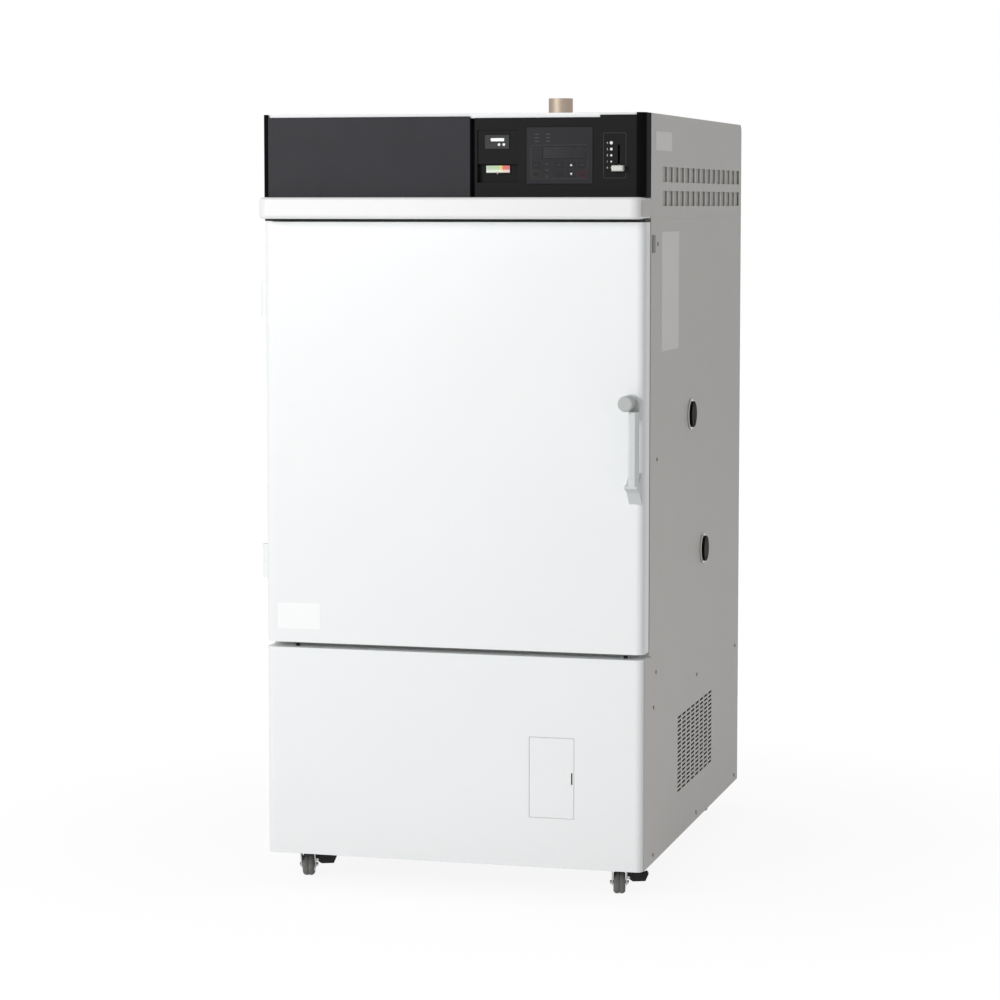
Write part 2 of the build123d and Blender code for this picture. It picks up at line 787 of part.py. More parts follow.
def port_plug(y, z):
    """Stepped plug with a black cap that lies on the ring and has two grip notches."""
    face = half + port_ring_thickness
    cap = rod_x(port_cap_radius, (face, port_face_x), y, z)
    rim = [e for e in cap.edges() if abs(e.center().X - port_face_x) < 0.1]
    cap = chamfer(rim, 1.5)
    plug = cap + rod_x(port_bore_radius - seal_clearance, (half - port_plug_depth, face), y, z)
    for side in (-1, 1):
        notch_z = about(z + side * (port_cap_radius - 8), 5)
        plug -= block((face + 2.5, port_face_x + 4), about(y, 2), notch_z)
    return plug


# Door
def door_skin():
    """Outer pan of the door, rounded at its front uprights, with the hole for the button's stem."""
    pan = block((-half, half), (0, door_thickness), (door_low_z, door_high_z))
    pan = fillet(upright_edges(pan, 1.0), corner_radius)
    x = (-half + door_sheet, half - door_sheet)
    z = (door_low_z + door_sheet, door_high_z - door_sheet)
    hollow = block(x, (door_sheet, door_thickness + 1), z)
    pan -= fillet(upright_edges(hollow, door_sheet + 1.0), corner_radius - door_sheet)
    return pan - rod_y(button_stem_radius + 2, button_x, (-1, 3), button_z)


def door_liner():
    """Stainless inner skin with the raised plug that enters the chamber mouth."""
    front, back = door_thickness - liner_skin, door_thickness + plug_reach
    plug = inner_half - plug_margin
    z = (door_low_z + door_sheet, door_high_z - door_sheet)
    skin = block((-half + door_sheet, half - door_sheet), (front, door_thickness), z)
    skin += ring_box(plug, (front, back))
    skin -= ring_box(plug - liner_skin, (front - 3, back - liner_skin))
    slot_x = (tongue_left_x - latch_travel - free_clearance, tongue_right_x + free_clearance)
    slot_z = about(button_z, tongue_half_height + free_clearance)
    return skin - block(slot_x, about(door_thickness, 5), slot_z)


def door_insulation():
    """Blanket that fills the door and its plug, with a pocket for the latch."""
    front, back = door_sheet, door_thickness - liner_skin
    z = (door_low_z + door_sheet, door_high_z - door_sheet)
    core = block((-half + door_sheet, half - door_sheet), (front, back), z)
    core = fillet(upright_edges(core, front + 1.0), corner_radius - door_sheet)
    plug_back = door_thickness + plug_reach - liner_skin
    core += ring_box(inner_half - plug_margin - liner_skin, (back - 1, plug_back))
    pocket = (front - 1, door_thickness)
    return core - block(about(button_x, latch_pocket), pocket, about(button_z, latch_pocket - 1))


def door_gasket():
    """Square ring of soft seal on the door's inner skin, with bevelled lips."""
    low = inner_half + gasket_offset
    face = frame_front_y - seal_clearance
    ring = ring_box(low + gasket_width, (door_thickness, face))
    ring = chamfer(edges_at_y(ring, face), gasket_bevel)
    return ring - ring_box(low, (door_thickness - 1, face + 1))


def handle():
    """Cast pull handle: round boss above, standing grip, and a foot that slopes back to the door."""
    left, right = about(handle_x, grip_width / 2)
    back = -(grip_stand - grip_depth)
    shoulder_low = button_z - button_radius - shoulder_height
    neck_top = shoulder_low + shoulder_height - 1.0
    boss = rod_y(button_radius, button_x, (-boss_stand, 0), button_z)
    boss = chamfer(edges_at_y(boss, -boss_stand), 1.5)
    shoulder_z = (shoulder_low, button_z + button_radius / 2)
    shoulder = block((button_x, right), (-boss_stand, 0), shoulder_z)
    shoulder = chamfer(shoulder.edges().filter_by(Axis.Y).sort_by(Axis.Z)[-1:], 5.0)
    bar = block((left, right), (-grip_stand, back), (handle_grip_z - 4.0, neck_top))
    bar += block((left, right), (back - 1.0, 0), (shoulder_low, neck_top))
    bar = chamfer(upright_edges(bar, -grip_stand + 1), 5.0)
    knee_z = handle_low_z + 0.66 * (handle_grip_z - handle_low_z)
    slope = [
        (0, handle_low_z),
        (-grip_stand / 2, knee_z),
        (-grip_stand, handle_grip_z - 4.0),
        (-grip_stand, handle_grip_z),
        (back, handle_grip_z + 6.0),
        (0, handle_grip_z + 26.0),
    ]
    body = boss + shoulder + bar + profile_x(slope, (left - foot_flare, right))
    return body - rod_y(button_stem_radius + 0.1, button_x, (-grip_stand - 5, 5), button_z)


def handle_button():
    """Drum-shaped push button on a stem that runs through the boss."""
    drum_back = -boss_stand - button_travel - free_clearance
    drum = rod_y(button_radius, button_x, (button_front_y, drum_back), button_z)
    drum = chamfer(edges_at_y(drum, button_front_y), 3.0)
    return drum + rod_y(button_stem_radius, button_x, (button_front_y + 10.0, button_stem_end), button_z)


def latch_tongue():
    """Sliding tongue that reaches through the inner skin into the keeper slot."""
    back = door_thickness - liner_skin - seal_clearance
    tongue_z = about(button_z, tongue_half_height)
    tongue = block((tongue_left_x, tongue_right_x), (tongue_front_y, latch_reach), tongue_z)
    foot_x = (tongue_left_x - tongue_foot, tongue_right_x)
    return tongue + block(foot_x, (back - 4.0, back), about(button_z, 2 * tongue_half_height))


def hinge_side(low_z, on_door):
    """One half of a lift-off hinge: leaf on the flat side, knuckle round the pin."""
    mid = low_z + hinge_height / 2
    if on_door:
        z, leaf_y = (mid + hinge_split / 2, low_z + hinge_height), (corner_radius, hinge_y)
        web_y = (hinge_y - knuckle_web, hinge_y)
    else:
        z, leaf_y = (low_z, mid - hinge_split / 2), (hinge_y, hinge_y + hinge_bracket_reach)
        web_y = (hinge_y, hinge_y + knuckle_web)
    half_hinge = block((-half - hinge_leaf, -half), leaf_y, z) + block((hinge_x, -half), web_y, z)
    return half_hinge + rod_z(knuckle_radius, hinge_x, hinge_y, z)


def hinge_leaves():
    """The two halves on the door, each with the bore for its pin."""
    halves = []
    for low_z in hinge_lows:
        bore_z = (low_z, low_z + hinge_height - 4.0)
        bore = rod_z(hinge_pin_radius + run_clearance, hinge_x, hinge_y, bore_z)
        halves.append(hinge_side(low_z, True) - bore)
    return halves


def hinge_brackets():
    """The two halves on the frame, each with its standing pin."""
    halves = []
    for low_z in hinge_lows:
        pin_z = (low_z + 10.0, low_z + hinge_height - 5.0)
        halves.append(hinge_side(low_z, False) + rod_z(hinge_pin_radius, hinge_x, hinge_y, pin_z))
    return halves


def door_switch():
    """Small switch cover on the frame's right post, by the top of the door."""
    y = (frame_front_y + 14.0, frame_front_y + 40.0)
    return block((half, half + 2.0), y, (trim_low_z - 72.5, trim_low_z - 34.5))


# Black fascia with its instruments
def end_cheek(side, width):
    """Moulded end of the fascia, rounded at the front and standing just above the panels."""
    cheek = block(on_side(side, half - width, half), (0, frame_front_y), (trim_top_z, roof_z))
    outer = [e for e in upright_edges(cheek, 1.0) if abs(e.center().X) > half - 1]
    return fillet(outer, min(corner_radius, width - 1.0))


def blank_fascia():
    """Plain left panel, a shallow folded tray."""
    x = (-half + left_cheek, blank_right_x)
    top = roof_z - blank_drop
    front, back = blank_face_y, blank_face_y + 24.0
    tray = block(x, (front, back), (trim_top_z, top))
    hollow_y = (front + fascia_wall, back + 1)
    tray -= block((x[0] + 3, x[1] - 3), hollow_y, (trim_top_z + fascia_wall, top + 1))
    return tray - block((x[0] - 1, x[1] + 1), hollow_y, (lip_low_z - free_clearance, top + 1))


module_x, module_z = window((control_left_x + module_offset[0], trim_top_z + module_offset[1]), module_size)
shelf_z = module_z[0] + module_shelf_up
guard_x, guard_z = window((module_x[0] + guard_offset[0], module_z[0] + guard_offset[1]), guard_size)
gauge_x, gauge_z = window((module_x[0] + gauge_offset[0], module_z[0] + gauge_offset[1]), gauge_size)
controller_x, controller_z = window(
    (control_left_x + controller_offset[0], trim_top_z + controller_offset[1]), controller_size
)
key_places = [(guard_x[0] + across, guard_z[0] + up) for across, up in key_offsets]


def control_fascia():
    """Right panel with the instrument recess, the controller opening and the lever slot."""
    z = trim_top_z
    front, face_back, back = fascia_face_y, fascia_face_y + fascia_wall, fascia_depth
    wall_top = lip_low_z - free_clearance
    panel = block((control_left_x, step_x), (front, face_back), (z, roof_z - control_drop))
    panel += block((step_x, control_right_x), (front, face_back), (z, roof_z - step_drop))
    panel += block((blank_right_x, control_left_x + 3), (back - 3, back), (z, wall_top))
    panel += block((control_left_x, control_left_x + 3), (front, back), (z, wall_top))
    panel += block((control_left_x, control_right_x), (front, back), (z, z + 3))
    panel -= block(module_x, (front - 1, face_back + 1), module_z)
    tub_x = (module_x[0] - 3, module_x[1] + 3)
    tub_z = (module_z[0] - 3, module_z[1] + 3)
    tub = block(tub_x, (front + 1, 20.0), tub_z)
    tub -= block(module_x, (0, recess_y), module_z)
    tub -= block(module_x, (0, 17.0), (module_z[0], shelf_z))
    tub -= block(module_x, (recess_y + 3, 21.0), (shelf_z + 3, module_z[1]))
    panel += tub
    panel -= block(guard_x, (0, 30.0), guard_z)
    panel -= block(gauge_x, (0, 30.0), gauge_z)
    case_x = (controller_x[0] + controller_flange - 1, controller_x[1] - controller_flange + 1)
    case_z = (controller_z[0] + controller_flange - 1, controller_z[1] - controller_flange + 1)
    panel -= block(case_x, (0, 30.0), case_z)
    seat_x = (controller_x[0] - controller_gap, controller_x[1] + controller_gap)
    seat_z = (controller_z[0] - controller_gap, controller_z[1] + controller_gap)
    panel -= block(seat_x, (0, front + fascia_wall / 2), seat_z)
    slot = (lever_low_z - 5.0, lever_low_z + lever_travel + 5.0)
    return panel - block(about(lever_slot_x, 2), (0, 30.0), slot)


def overheat_protector():
    """Small independent limiter in its own bezel, with two round keys below the display."""
    body = block(guard_x, (recess_y - 2.5, 50.0), guard_z)
    glass_x = (guard_x[0] + 11.0, guard_x[0] + 44.5)
    glass_z = (guard_z[0] + 13.8, guard_z[0] + 24.3)
    body -= block(glass_x, (recess_y - 3, recess_y - 1), glass_z)
    for x, z in key_places:
        body -= rod_y(key_radius + 0.1, x, (0, recess_y + 3.0), z)
    return body


def overheat_key(x, z):
    return rod_y(key_radius, x, (recess_y - 4.0, recess_y + 1.5), z)


def pressure_gauge():
    """Edge-reading filter pressure gauge: housing with a sunk scale window."""
    body = block(gauge_x, (gauge_face_y, gauge_face_y + 48.0), gauge_z)
    window_x = (gauge_x[0] + 2, gauge_x[1] - 2)
    return body - block(window_x, about(gauge_face_y, 1), (gauge_z[0] + 2, gauge_z[1] - 2))


def controller():
    """Main controller: flat front plate with a raised keypad, a sunk display and its case behind."""
    face = fascia_face_y - fascia_wall / 2
    case_x = (controller_x[0] + controller_flange, controller_x[1] - controller_flange)
    case_z = (controller_z[0] + controller_flange, controller_z[1] - controller_flange)
    body = block(controller_x, (face, face + fascia_wall), controller_z)
    body += block(case_x, (face + 1, 56.0), case_z)
    keypad = window((controller_x[0] + keypad_low[0], controller_z[0] + keypad_low[1]), keypad_size)
    glass = window((controller_x[0] + display_low[0], controller_z[0] + display_low[1]), display_size)
    pad = block(keypad[0], (face - 0.8, face + 0.5), keypad[1])
    return body + (pad - block(glass[0], (face - 1.5, face), glass[1]))


def damper_lever():
    """Slide knob on the stem that goes through the slot, with its plate behind the panel."""
    knob_z = about(lever_low_z, knob_size[1] / 2)
    knob = block(about(lever_slot_x, knob_size[0] / 2), (-knob_reach, fascia_face_y - 0.6), knob_z)
    knob = chamfer(edges_at_y(knob, -knob_reach), 2.0)
    stem = block(about(lever_slot_x, 1.6), (fascia_face_y - 1.6, 16.0), about(lever_low_z, 4))
    plate_y = fascia_face_y + fascia_wall + 0.4
    return knob + stem + block(about(lever_slot_x, 9), (plate_y, plate_y + 2), about(lever_low_z, 8))


# Breaker behind its flap
def breaker():
    """Steel pocket behind the opening and the breaker that stands on its back wall."""
    x = (flap_left_x - pocket_margin, flap_right_x + pocket_margin)
    z = (flap_low_z - pocket_margin, flap_high_z + pocket_margin)
    back = pocket_back_y - sheet
    pocket = block(x, (sheet, pocket_back_y), z)
    pocket -= block((x[0] + sheet, x[1] - sheet), (0, back), (z[0] + sheet, z[1] - sheet))
    body_x = about(breaker_mid_x, breaker_half[0])
    body = block(body_x, (breaker_face_y, back), about(breaker_mid_z, breaker_half[1]))
    well_y = (breaker_face_y - 4, lever_pivot_y + 12.0)
    body -= block(about(breaker_mid_x, lever_half_width + 0.3), well_y, about(breaker_mid_z, 20))
    return pocket, body


def breaker_lever():
    """Rocking lever with its drum, pointing up when on."""
    drum = rod_x(lever_drum_radius, about(breaker_mid_x, lever_half_width), lever_pivot_y, breaker_mid_z)
    paddle = block(about(breaker_mid_x, lever_half_width - 1), (-24.0, 0), (-3.0, 3.0))
    lever = drum + Pos(0, lever_pivot_y, breaker_mid_z) * Rot(-lever_lean_deg, 0, 0) * paddle
    pin = about(breaker_mid_x, lever_half_width + 0.3)
    return lever + rod_x(2.5, pin, lever_pivot_y, breaker_mid_z)


def breaker_flap():
    """Flush flap with a rolled edge that it turns on and a finger recess at its free edge."""
    z = (flap_low_z, flap_high_z)
    flap = block((flap_axis[0], flap_right_x), (0, sheet), z)
    flap += rod_z(sheet / 2, flap_axis[0], flap_axis[1], z)
    width, height = flap_notch
    notch_x = (flap_right_x - 2 * width, flap_right_x - width)
    return flap - block(notch_x, (-1, sheet + 1), about(breaker_mid_z, height / 2))


# Casters
def caster_places():
    return {
        "front_left": (-caster_x, caster_front_y),
        "front_right": (caster_x, caster_front_y),
        "rear_left": (-caster_x, caster_rear_y),
        "rear_right": (caster_x, caster_rear_y),
    }


def turned(x, y, piece):
    """Puts a piece of a caster on its kingpin, swivelled as all four stand."""
    return Pos(x, y, 0) * Rot(0, 0, caster_turn_deg) * piece


def caster_top(x, y):
    """Fixed top plate with the kingpin that the fork turns on."""
    plate = block(about(x, 36), about(y, 30), (plate_low, underside_z))
    return plate + rod_z(kingpin_radius, x, y, (plate_low - crown_height - 4, plate_low))


def caster_fork(x, y, braked):
    """Pressed swivel fork with two legs, the axle between them and, if braked, the pedal's ears."""
    top = plate_low - race_gap
    crown_low = top - crown_height
    fork = rod_z(crown_radius, 0, 0, (crown_low, top))
    fork += block((-leg_outer, leg_outer), (-8, caster_trail + 8), (crown_low, crown_low + 4))
    outline = [
        (-14, crown_low + 3),
        (caster_trail + 16, crown_low + 3),
        (caster_trail + 8, wheel_radius - 6),
        (caster_trail - 8, wheel_radius - 6),
    ]
    for side in (-1, 1):
        fork += profile_x(outline, on_side(side, leg_outer - fork_wall, leg_outer))
    fork += rod_x(axle_radius, about(0, leg_outer + 4.0), caster_trail, wheel_radius)
    fork -= rod_z(kingpin_radius + run_clearance, 0, 0, (crown_low - 1, top + 1))
    if braked:
        low, high = pedal_y()
        for ear_y in ((low - 0.3 - pedal_ear, low - 0.3), (high + 0.3, high + 0.3 + pedal_ear)):
            ear_x = (leg_outer - fork_wall / 2, pedal_pivot_x)
            fork += block(ear_x, ear_y, about(pedal_pivot_z, pedal_barrel))
            fork += rod_y(pedal_barrel, pedal_pivot_x, ear_y, pedal_pivot_z)
        fork += rod_y(pedal_pin_radius, pedal_pivot_x, (low - 1, high + 1), pedal_pivot_z)
    return turned(x, y, fork)


def caster_wheel(x, y):
    """Wheel with bevelled shoulders and a running bore."""
    side = wheel_width / 2
    shoulder = wheel_radius - wheel_shoulder
    bore = axle_radius + run_clearance
    points = [
        (bore, -side),
        (shoulder, -side),
        (wheel_radius, -side + wheel_shoulder),
        (wheel_radius, side - wheel_shoulder),
        (shoulder, side),
        (bore, side),
    ]
    outline = make_face(Polyline(*[(p[0], 0, p[1]) for p in points], close=True))
    wheel = Rot(0, 90, 0) * revolve(outline, Axis.Z)
    return turned(x, y, Pos(0, caster_trail, wheel_radius) * wheel)


def pedal_y():
    """Where the pedal lies along the leg."""
    return (caster_trail - 12.0, caster_trail - 12.0 + pedal_width)


def brake_pedal(x, y):
    """Black foot pedal on a barrel that turns between two ears on the fork's right leg."""
    low, high = pedal_y()
    start = pedal_pivot_x - pedal_barrel
    points = [
        (start, pedal_pivot_z),
        (start, pedal_pivot_z + 18),
        (start + 6, pedal_pivot_z + 19),
        (start + 32, pedal_pivot_z + 8),
        (start + 44, pedal_pivot_z + 12),
        (start + 47, pedal_pivot_z + 8),
        (start + 40, pedal_pivot_z - 8),
        (start + 12, pedal_pivot_z - 9),
        (pedal_pivot_x, pedal_pivot_z - pedal_barrel),
    ]
    outline = make_face(Polyline(*[(p[0], 0, p[1]) for p in points], close=True))
    pedal = Pos(0, low, 0) * extrude(outline, high - low, dir=(0, 1, 0))
    pedal += rod_y(pedal_barrel, pedal_pivot_x, (low, high), pedal_pivot_z)
    bore = rod_y(pedal_pin_radius + run_clearance, pedal_pivot_x, (low - 1, high + 1), pedal_pivot_z)
    return turned(x, y, pedal - bore)


# Writing the parts
if __name__ == "__main__":
    save("base_frame", base_frame())
    save("front_frame", *front_frame())
    save("left_side_panel", side_panel(-1))
    save("right_side_panel", right_side_panel())
    save("louvre_panels", louvre_panel(-1), louvre_panel(1))
    save("top_cover", top_cover())
    save("rear_panel", rear_panel())
    save("power_gland", power_gland())
    save("lower_front_panel", lower_front_panel())
    save("visor_trim", visor_trim())
    save("side_screws", *side_screws())
    save("door_bumpers", *door_bumpers())
    save("chamber_liner", chamber_liner())
    save("chamber_insulation", chamber_insulation())
    save("inner_box", inner_box())
    save("air_walls", air_wall(-1), air_wall(1))
    save("shelf_rails", *shelf_rails())
    save("shelves", *[shelf(level) for level in rail_levels])
    save("hepa_filter", *hepa_filter())
    save("heater", heater())
    save("fan_wheel", fan_wheel())
    save("fan_motor", fan_motor())
    save("exhaust_duct", exhaust_duct())
    save("damper_flap", damper_flap())
    save("port_sleeves", *port_sleeves())
    save("port_plug_upper", port_plug(*port_places[0]))
    save("port_plug_lower", port_plug(*port_places[1]))
    save("door_skin", door_skin())
    save("door_liner", door_liner())
    save("door_insulation", door_insulation())
    save("door_gasket", door_gasket())
    save("handle", handle())
    save("handle_button", handle_button())
    save("latch_tongue", latch_tongue())
    save("hinge_leaves", *hinge_leaves())
    save("hinge_brackets", *hinge_brackets())
    save("door_switch", door_switch())
    save("end_cheeks", end_cheek(-1, left_cheek), end_cheek(1, right_cheek))
    save("blank_fascia", blank_fascia())
    save("control_fascia", control_fascia())
    save("overheat_protector", overheat_protector())
    save("overheat_key_left", overheat_key(*key_places[0]))
    save("overheat_key_right", overheat_key(*key_places[1]))
    save("pressure_gauge", pressure_gauge())
    save("controller", controller())
    save("damper_lever", damper_lever())
    save("breaker", *breaker())
    save("breaker_lever", breaker_lever())
    save("breaker_flap", breaker_flap())
    places = caster_places()
    save("caster_plates", *[caster_top(x, y) for x, y in places.values()])
    for corner, (x, y) in places.items():
        save(f"caster_fork_{corner}", caster_fork(x, y, "front" in corner))
        save(f"caster_wheel_{corner}", caster_wheel(x, y))
        if "front" in corner:
            save(f"brake_pedal_{corner}", brake_pedal(x, y))
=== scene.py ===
# %% [markdown]
# A cleanroom oven: a tall sheet-metal cabinet on casters. The construction comes ready from the frame,
# and this lesson dresses it: softened sheet edges, coats of paint, moulded plastics, printed
# markings and small fittings. Everything is in metres, in the frame's own axes: +Z up, -Y out of the door.

# %% Load the frame and find the middle of the door
import json
import math

import bmesh
import bpy
import numpy as np
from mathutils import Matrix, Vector


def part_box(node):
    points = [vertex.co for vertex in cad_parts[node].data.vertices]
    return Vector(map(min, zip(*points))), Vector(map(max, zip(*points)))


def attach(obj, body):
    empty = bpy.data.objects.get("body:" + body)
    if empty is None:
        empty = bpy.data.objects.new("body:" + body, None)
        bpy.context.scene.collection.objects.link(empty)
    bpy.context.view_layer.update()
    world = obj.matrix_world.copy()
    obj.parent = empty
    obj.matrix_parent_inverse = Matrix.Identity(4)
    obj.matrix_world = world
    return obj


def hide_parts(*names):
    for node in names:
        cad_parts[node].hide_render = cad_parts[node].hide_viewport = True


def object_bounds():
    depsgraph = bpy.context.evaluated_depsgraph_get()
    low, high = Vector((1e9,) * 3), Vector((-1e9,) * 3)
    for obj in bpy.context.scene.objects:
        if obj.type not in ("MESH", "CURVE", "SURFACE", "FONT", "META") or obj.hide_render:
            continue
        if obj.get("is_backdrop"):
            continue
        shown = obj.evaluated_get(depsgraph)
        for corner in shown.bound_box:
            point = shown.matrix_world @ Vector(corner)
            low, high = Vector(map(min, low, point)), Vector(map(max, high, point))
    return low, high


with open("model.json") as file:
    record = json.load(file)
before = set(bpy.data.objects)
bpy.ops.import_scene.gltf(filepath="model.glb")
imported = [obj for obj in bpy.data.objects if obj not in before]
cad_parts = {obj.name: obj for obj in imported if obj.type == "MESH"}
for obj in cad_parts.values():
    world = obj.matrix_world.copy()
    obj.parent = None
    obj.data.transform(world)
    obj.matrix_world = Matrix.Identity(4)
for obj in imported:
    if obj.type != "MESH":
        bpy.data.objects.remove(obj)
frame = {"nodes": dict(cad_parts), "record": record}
cad_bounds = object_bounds()
nodes = frame["nodes"]

MM = 0.001
door_low, door_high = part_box("door_skin")
middle_x = (door_low[0] + door_high[0]) / 2
face_y = door_low[1]
side_x = (door_high[0] - door_low[0]) / 2 / MM


def at(x, y, z):
    """A point from millimetres right of the middle, behind the door's face and above the floor."""
    return Vector((middle_x + x * MM, face_y + y * MM, z * MM))


def placed(points):
    """A whole array of such millimetre points, moved to the frame's metres in one step."""
    return np.asarray(points, dtype=float) * MM + np.array([middle_x, face_y, 0.0])


def face_of(node):
    """How far the front of a node lies behind the door's face, in millimetres."""
    return (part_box(node)[0][1] - face_y) / MM


print("door face at", round(face_y, 4), "middle at", round(middle_x, 5), "nodes", len(nodes))

# %% [markdown]
# The camera stands where the photographer stood: to the right of the oven and nearly as high as its
# roof. It looks down a little at the middle of the oven, and a slight shift of the lens, as on a view camera,
# does the rest of the framing.

# %% Camera
CAMERA_PLACE = (1799.5, -6361.4, 1519.1)
CAMERA_TURN = math.radians(14.876)
CAMERA_TILT = math.radians(5.004)
FOCAL_IN_PICTURE_WIDTHS = 3.0389
LENS_SHIFT = -0.03
SENSOR = 36.0
VIEW_DEPTH = 60.0

lens = bpy.data.cameras.new("camera")
lens.sensor_width = SENSOR
lens.lens = SENSOR * FOCAL_IN_PICTURE_WIDTHS
lens.shift_y = LENS_SHIFT
lens.clip_end = VIEW_DEPTH
camera = bpy.data.objects.new("camera", lens)
camera.location = at(*CAMERA_PLACE)
camera.rotation_euler = (math.radians(90) - CAMERA_TILT, 0, CAMERA_TURN)
bpy.context.scene.collection.objects.link(camera)
bpy.context.scene.camera = camera
print("lens", round(lens.lens, 1), "mm")

# %% [markdown]
# The light is that of a catalogue photo: one very large soft light from the front left makes the
# front near white, and the right side, turned away from it, is lit by the pale room and a weak fill. The
# floor and the world are plain white to the camera and in mirrored rays, and the floor keeps the shadow.

# %% Light
KEY_LIGHT = {"place": (-2900.0, -5200.0, 2700.0), "aim": (0.0, 0.0, 900.0), "size": 3.4, "watts": 238.0}
FILL_LIGHT = {"place": (3500.0, -3000.0, 1500.0), "aim": (430.0, 0.0, 900.0), "size": 2.0, "watts": 10.0}
ROOM_LEVEL = 0.40


def soft_light(name, place, aim, size, watts):
    """A square area lamp that faces the point it is aimed at."""
    lamp = bpy.data.lights.new(name, "AREA")
    lamp.shape = "RECTANGLE"
    lamp.size = size
    lamp.size_y = size
    lamp.energy = watts
    item = bpy.data.objects.new(name, lamp)
    item.location = at(*place)
    item.rotation_euler = (at(*aim) - item.location).to_track_quat("-Z", "Y").to_euler()
    bpy.context.scene.collection.objects.link(item)


soft_light("key", **KEY_LIGHT)
soft_light("fill", **FILL_LIGHT)
world = bpy.data.worlds.new("room")
world.use_nodes = True
bpy.context.scene.world = world
bpy.context.scene.view_settings.view_transform = "Standard"


def seen_rays(tree):
    """1 for rays from the camera, mirrored rays and rays through glass, and 0 for the light on things."""
    path = tree.nodes.new("ShaderNodeLightPath")
    seen = path.outputs["Is Camera Ray"]
    for other in ("Is Glossy Ray", "Is Transmission Ray"):
        either = tree.nodes.new("ShaderNodeMath")
        either.operation = "MAXIMUM"
        tree.links.new(seen, either.inputs[0])
        tree.links.new(path.outputs[other], either.inputs[1])
        seen = either.outputs[0]
    return seen


def between(tree, value, low, high, start, end):
    """A Map Range node: the value from low to high becomes start to end."""
    node = tree.nodes.new("ShaderNodeMapRange")
    tree.links.new(value, node.inputs["Value"])
    for socket, number in (("From Min", low), ("From Max", high), ("To Min", start), ("To Max", end)):
        node.inputs[socket].default_value = number
    return node.outputs["Result"]


background = world.node_tree.nodes["Background"]
background.inputs["Color"].default_value = (1.0, 1.0, 1.0, 1.0)
strength = between(world.node_tree, seen_rays(world.node_tree), 0.0, 1.0, ROOM_LEVEL, 1.0)
world.node_tree.links.new(strength, background.inputs["Strength"])
print("key light", KEY_LIGHT["watts"], "W, room level", ROOM_LEVEL)

# %% [markdown]
# Every new piece below is a grid of points worked out as one array. Rows and columns of the grid become
# quads, and where the grid runs round something or shrinks to a point, the doubled points are merged, so that
# the surface is closed and its faces can be turned outwards.

# %% Meshes from grids
SAME_POINT = 1e-6


def grid_faces(rows, columns, wrap_rows=False, wrap_columns=False):
    """Quads over a grid of points, as an array of four indexes each, closed round where asked."""
    i = np.arange(rows if wrap_rows else rows - 1)
    j = np.arange(columns if wrap_columns else columns - 1)
    i, j = np.meshgrid(i, j, indexing="ij")
    i, j = i.ravel(), j.ravel()
    i2, j2 = (i + 1) % rows, (j + 1) % columns
    return np.stack([i * columns + j, i2 * columns + j, i2 * columns + j2, i * columns + j2], axis=1)


def mesh_object(name, points, faces, material, smooth=True):
    """A mesh from quads and points in metres: doubles merged, faces outwards, its object at the origin."""
    mesh = bpy.data.meshes.new(name)
    mesh.from_pydata(np.asarray(points).reshape(-1, 3).tolist(), [], np.asarray(faces).tolist())
    shape = bmesh.new()
    shape.from_mesh(mesh)
    bmesh.ops.remove_doubles(shape, verts=shape.verts, dist=SAME_POINT)
    bmesh.ops.recalc_face_normals(shape, faces=shape.faces)
    shape.to_mesh(mesh)
    shape.free()
    mesh.polygons.foreach_set("use_smooth", np.full(len(mesh.polygons), smooth))
    mesh.materials.append(material)
    item = bpy.data.objects.new(name, mesh)
    bpy.context.scene.collection.objects.link(item)
    return item


# %% [markdown]
# Real finishes are never one flat colour. Powder coat has a fine orange-peel skin and a little
# cloudiness, moulded plastic has a fine pebbled grain, and rolled steel has long streaks. Each of these
# is one node group with named sockets, built once and placed in every material that needs it.

# %% Node groups for grain, streaks and dust
MIX_FACTOR, MIX_FIRST, MIX_SECOND, MIX_RESULT = 0, 6, 7, 2
CLOUDS_PER_METRE, SMEARS_PER_METRE = 4.0, 27.0
LINES_PER_METRE, STAINS_PER_METRE, LINE_SHARE = 6.0, 7.0, 0.75
ROUGHER_ALONG_LINES = 0.2
SCUFFS_PER_METRE = 60.0


def new_group(name, inputs, outputs):
    """An empty shader group with float or colour inputs and its outputs, and its two end nodes."""
    group = bpy.data.node_groups.new(name, "ShaderNodeTree")
    for label, kind, value in inputs:
        group.interface.new_socket(label, in_out="INPUT", socket_type=kind).default_value = value
    for label, kind in outputs:
        group.interface.new_socket(label, in_out="OUTPUT", socket_type=kind)
    return group, group.nodes.new("NodeGroupInput"), group.nodes.new("NodeGroupOutput")


def feed(tree, socket, value):
    """Sets a number or a colour on a socket, or links another node's output to it."""
    if isinstance(value, (int, float, tuple)):
        socket.default_value = value
    else:
        tree.links.new(value, socket)


def math_node(tree, operation, first, second, clamp=False):
    """One Math node with links or numbers on its inputs."""
    node = tree.nodes.new("ShaderNodeMath")
    node.operation = operation
    node.use_clamp = clamp
    feed(tree, node.inputs[0], first)
    feed(tree, node.inputs[1], second)
    return node.outputs[0]


def mix_colour(tree, mask, first, second, mode="MIX"):
    """One Mix node for colours, with a mask from 0 to 1."""
    node = tree.nodes.new("ShaderNodeMix")
    node.data_type = "RGBA"
    node.blend_type = mode
    for index, value in ((MIX_FACTOR, mask), (MIX_FIRST, first), (MIX_SECOND, second)):
        feed(tree, node.inputs[index], value)
    return node.outputs[MIX_RESULT]


def noise(tree, coordinates, scale, detail=3.0, roughness=0.55):
    """A noise texture's value at that scale, per metre."""
    node = tree.nodes.new("ShaderNodeTexNoise")
    named = {"Vector": coordinates, "Scale": scale, "Detail": detail, "Roughness": roughness}
    for label, value in named.items():
        feed(tree, node.inputs[label], value)
    return node.outputs["Fac"]


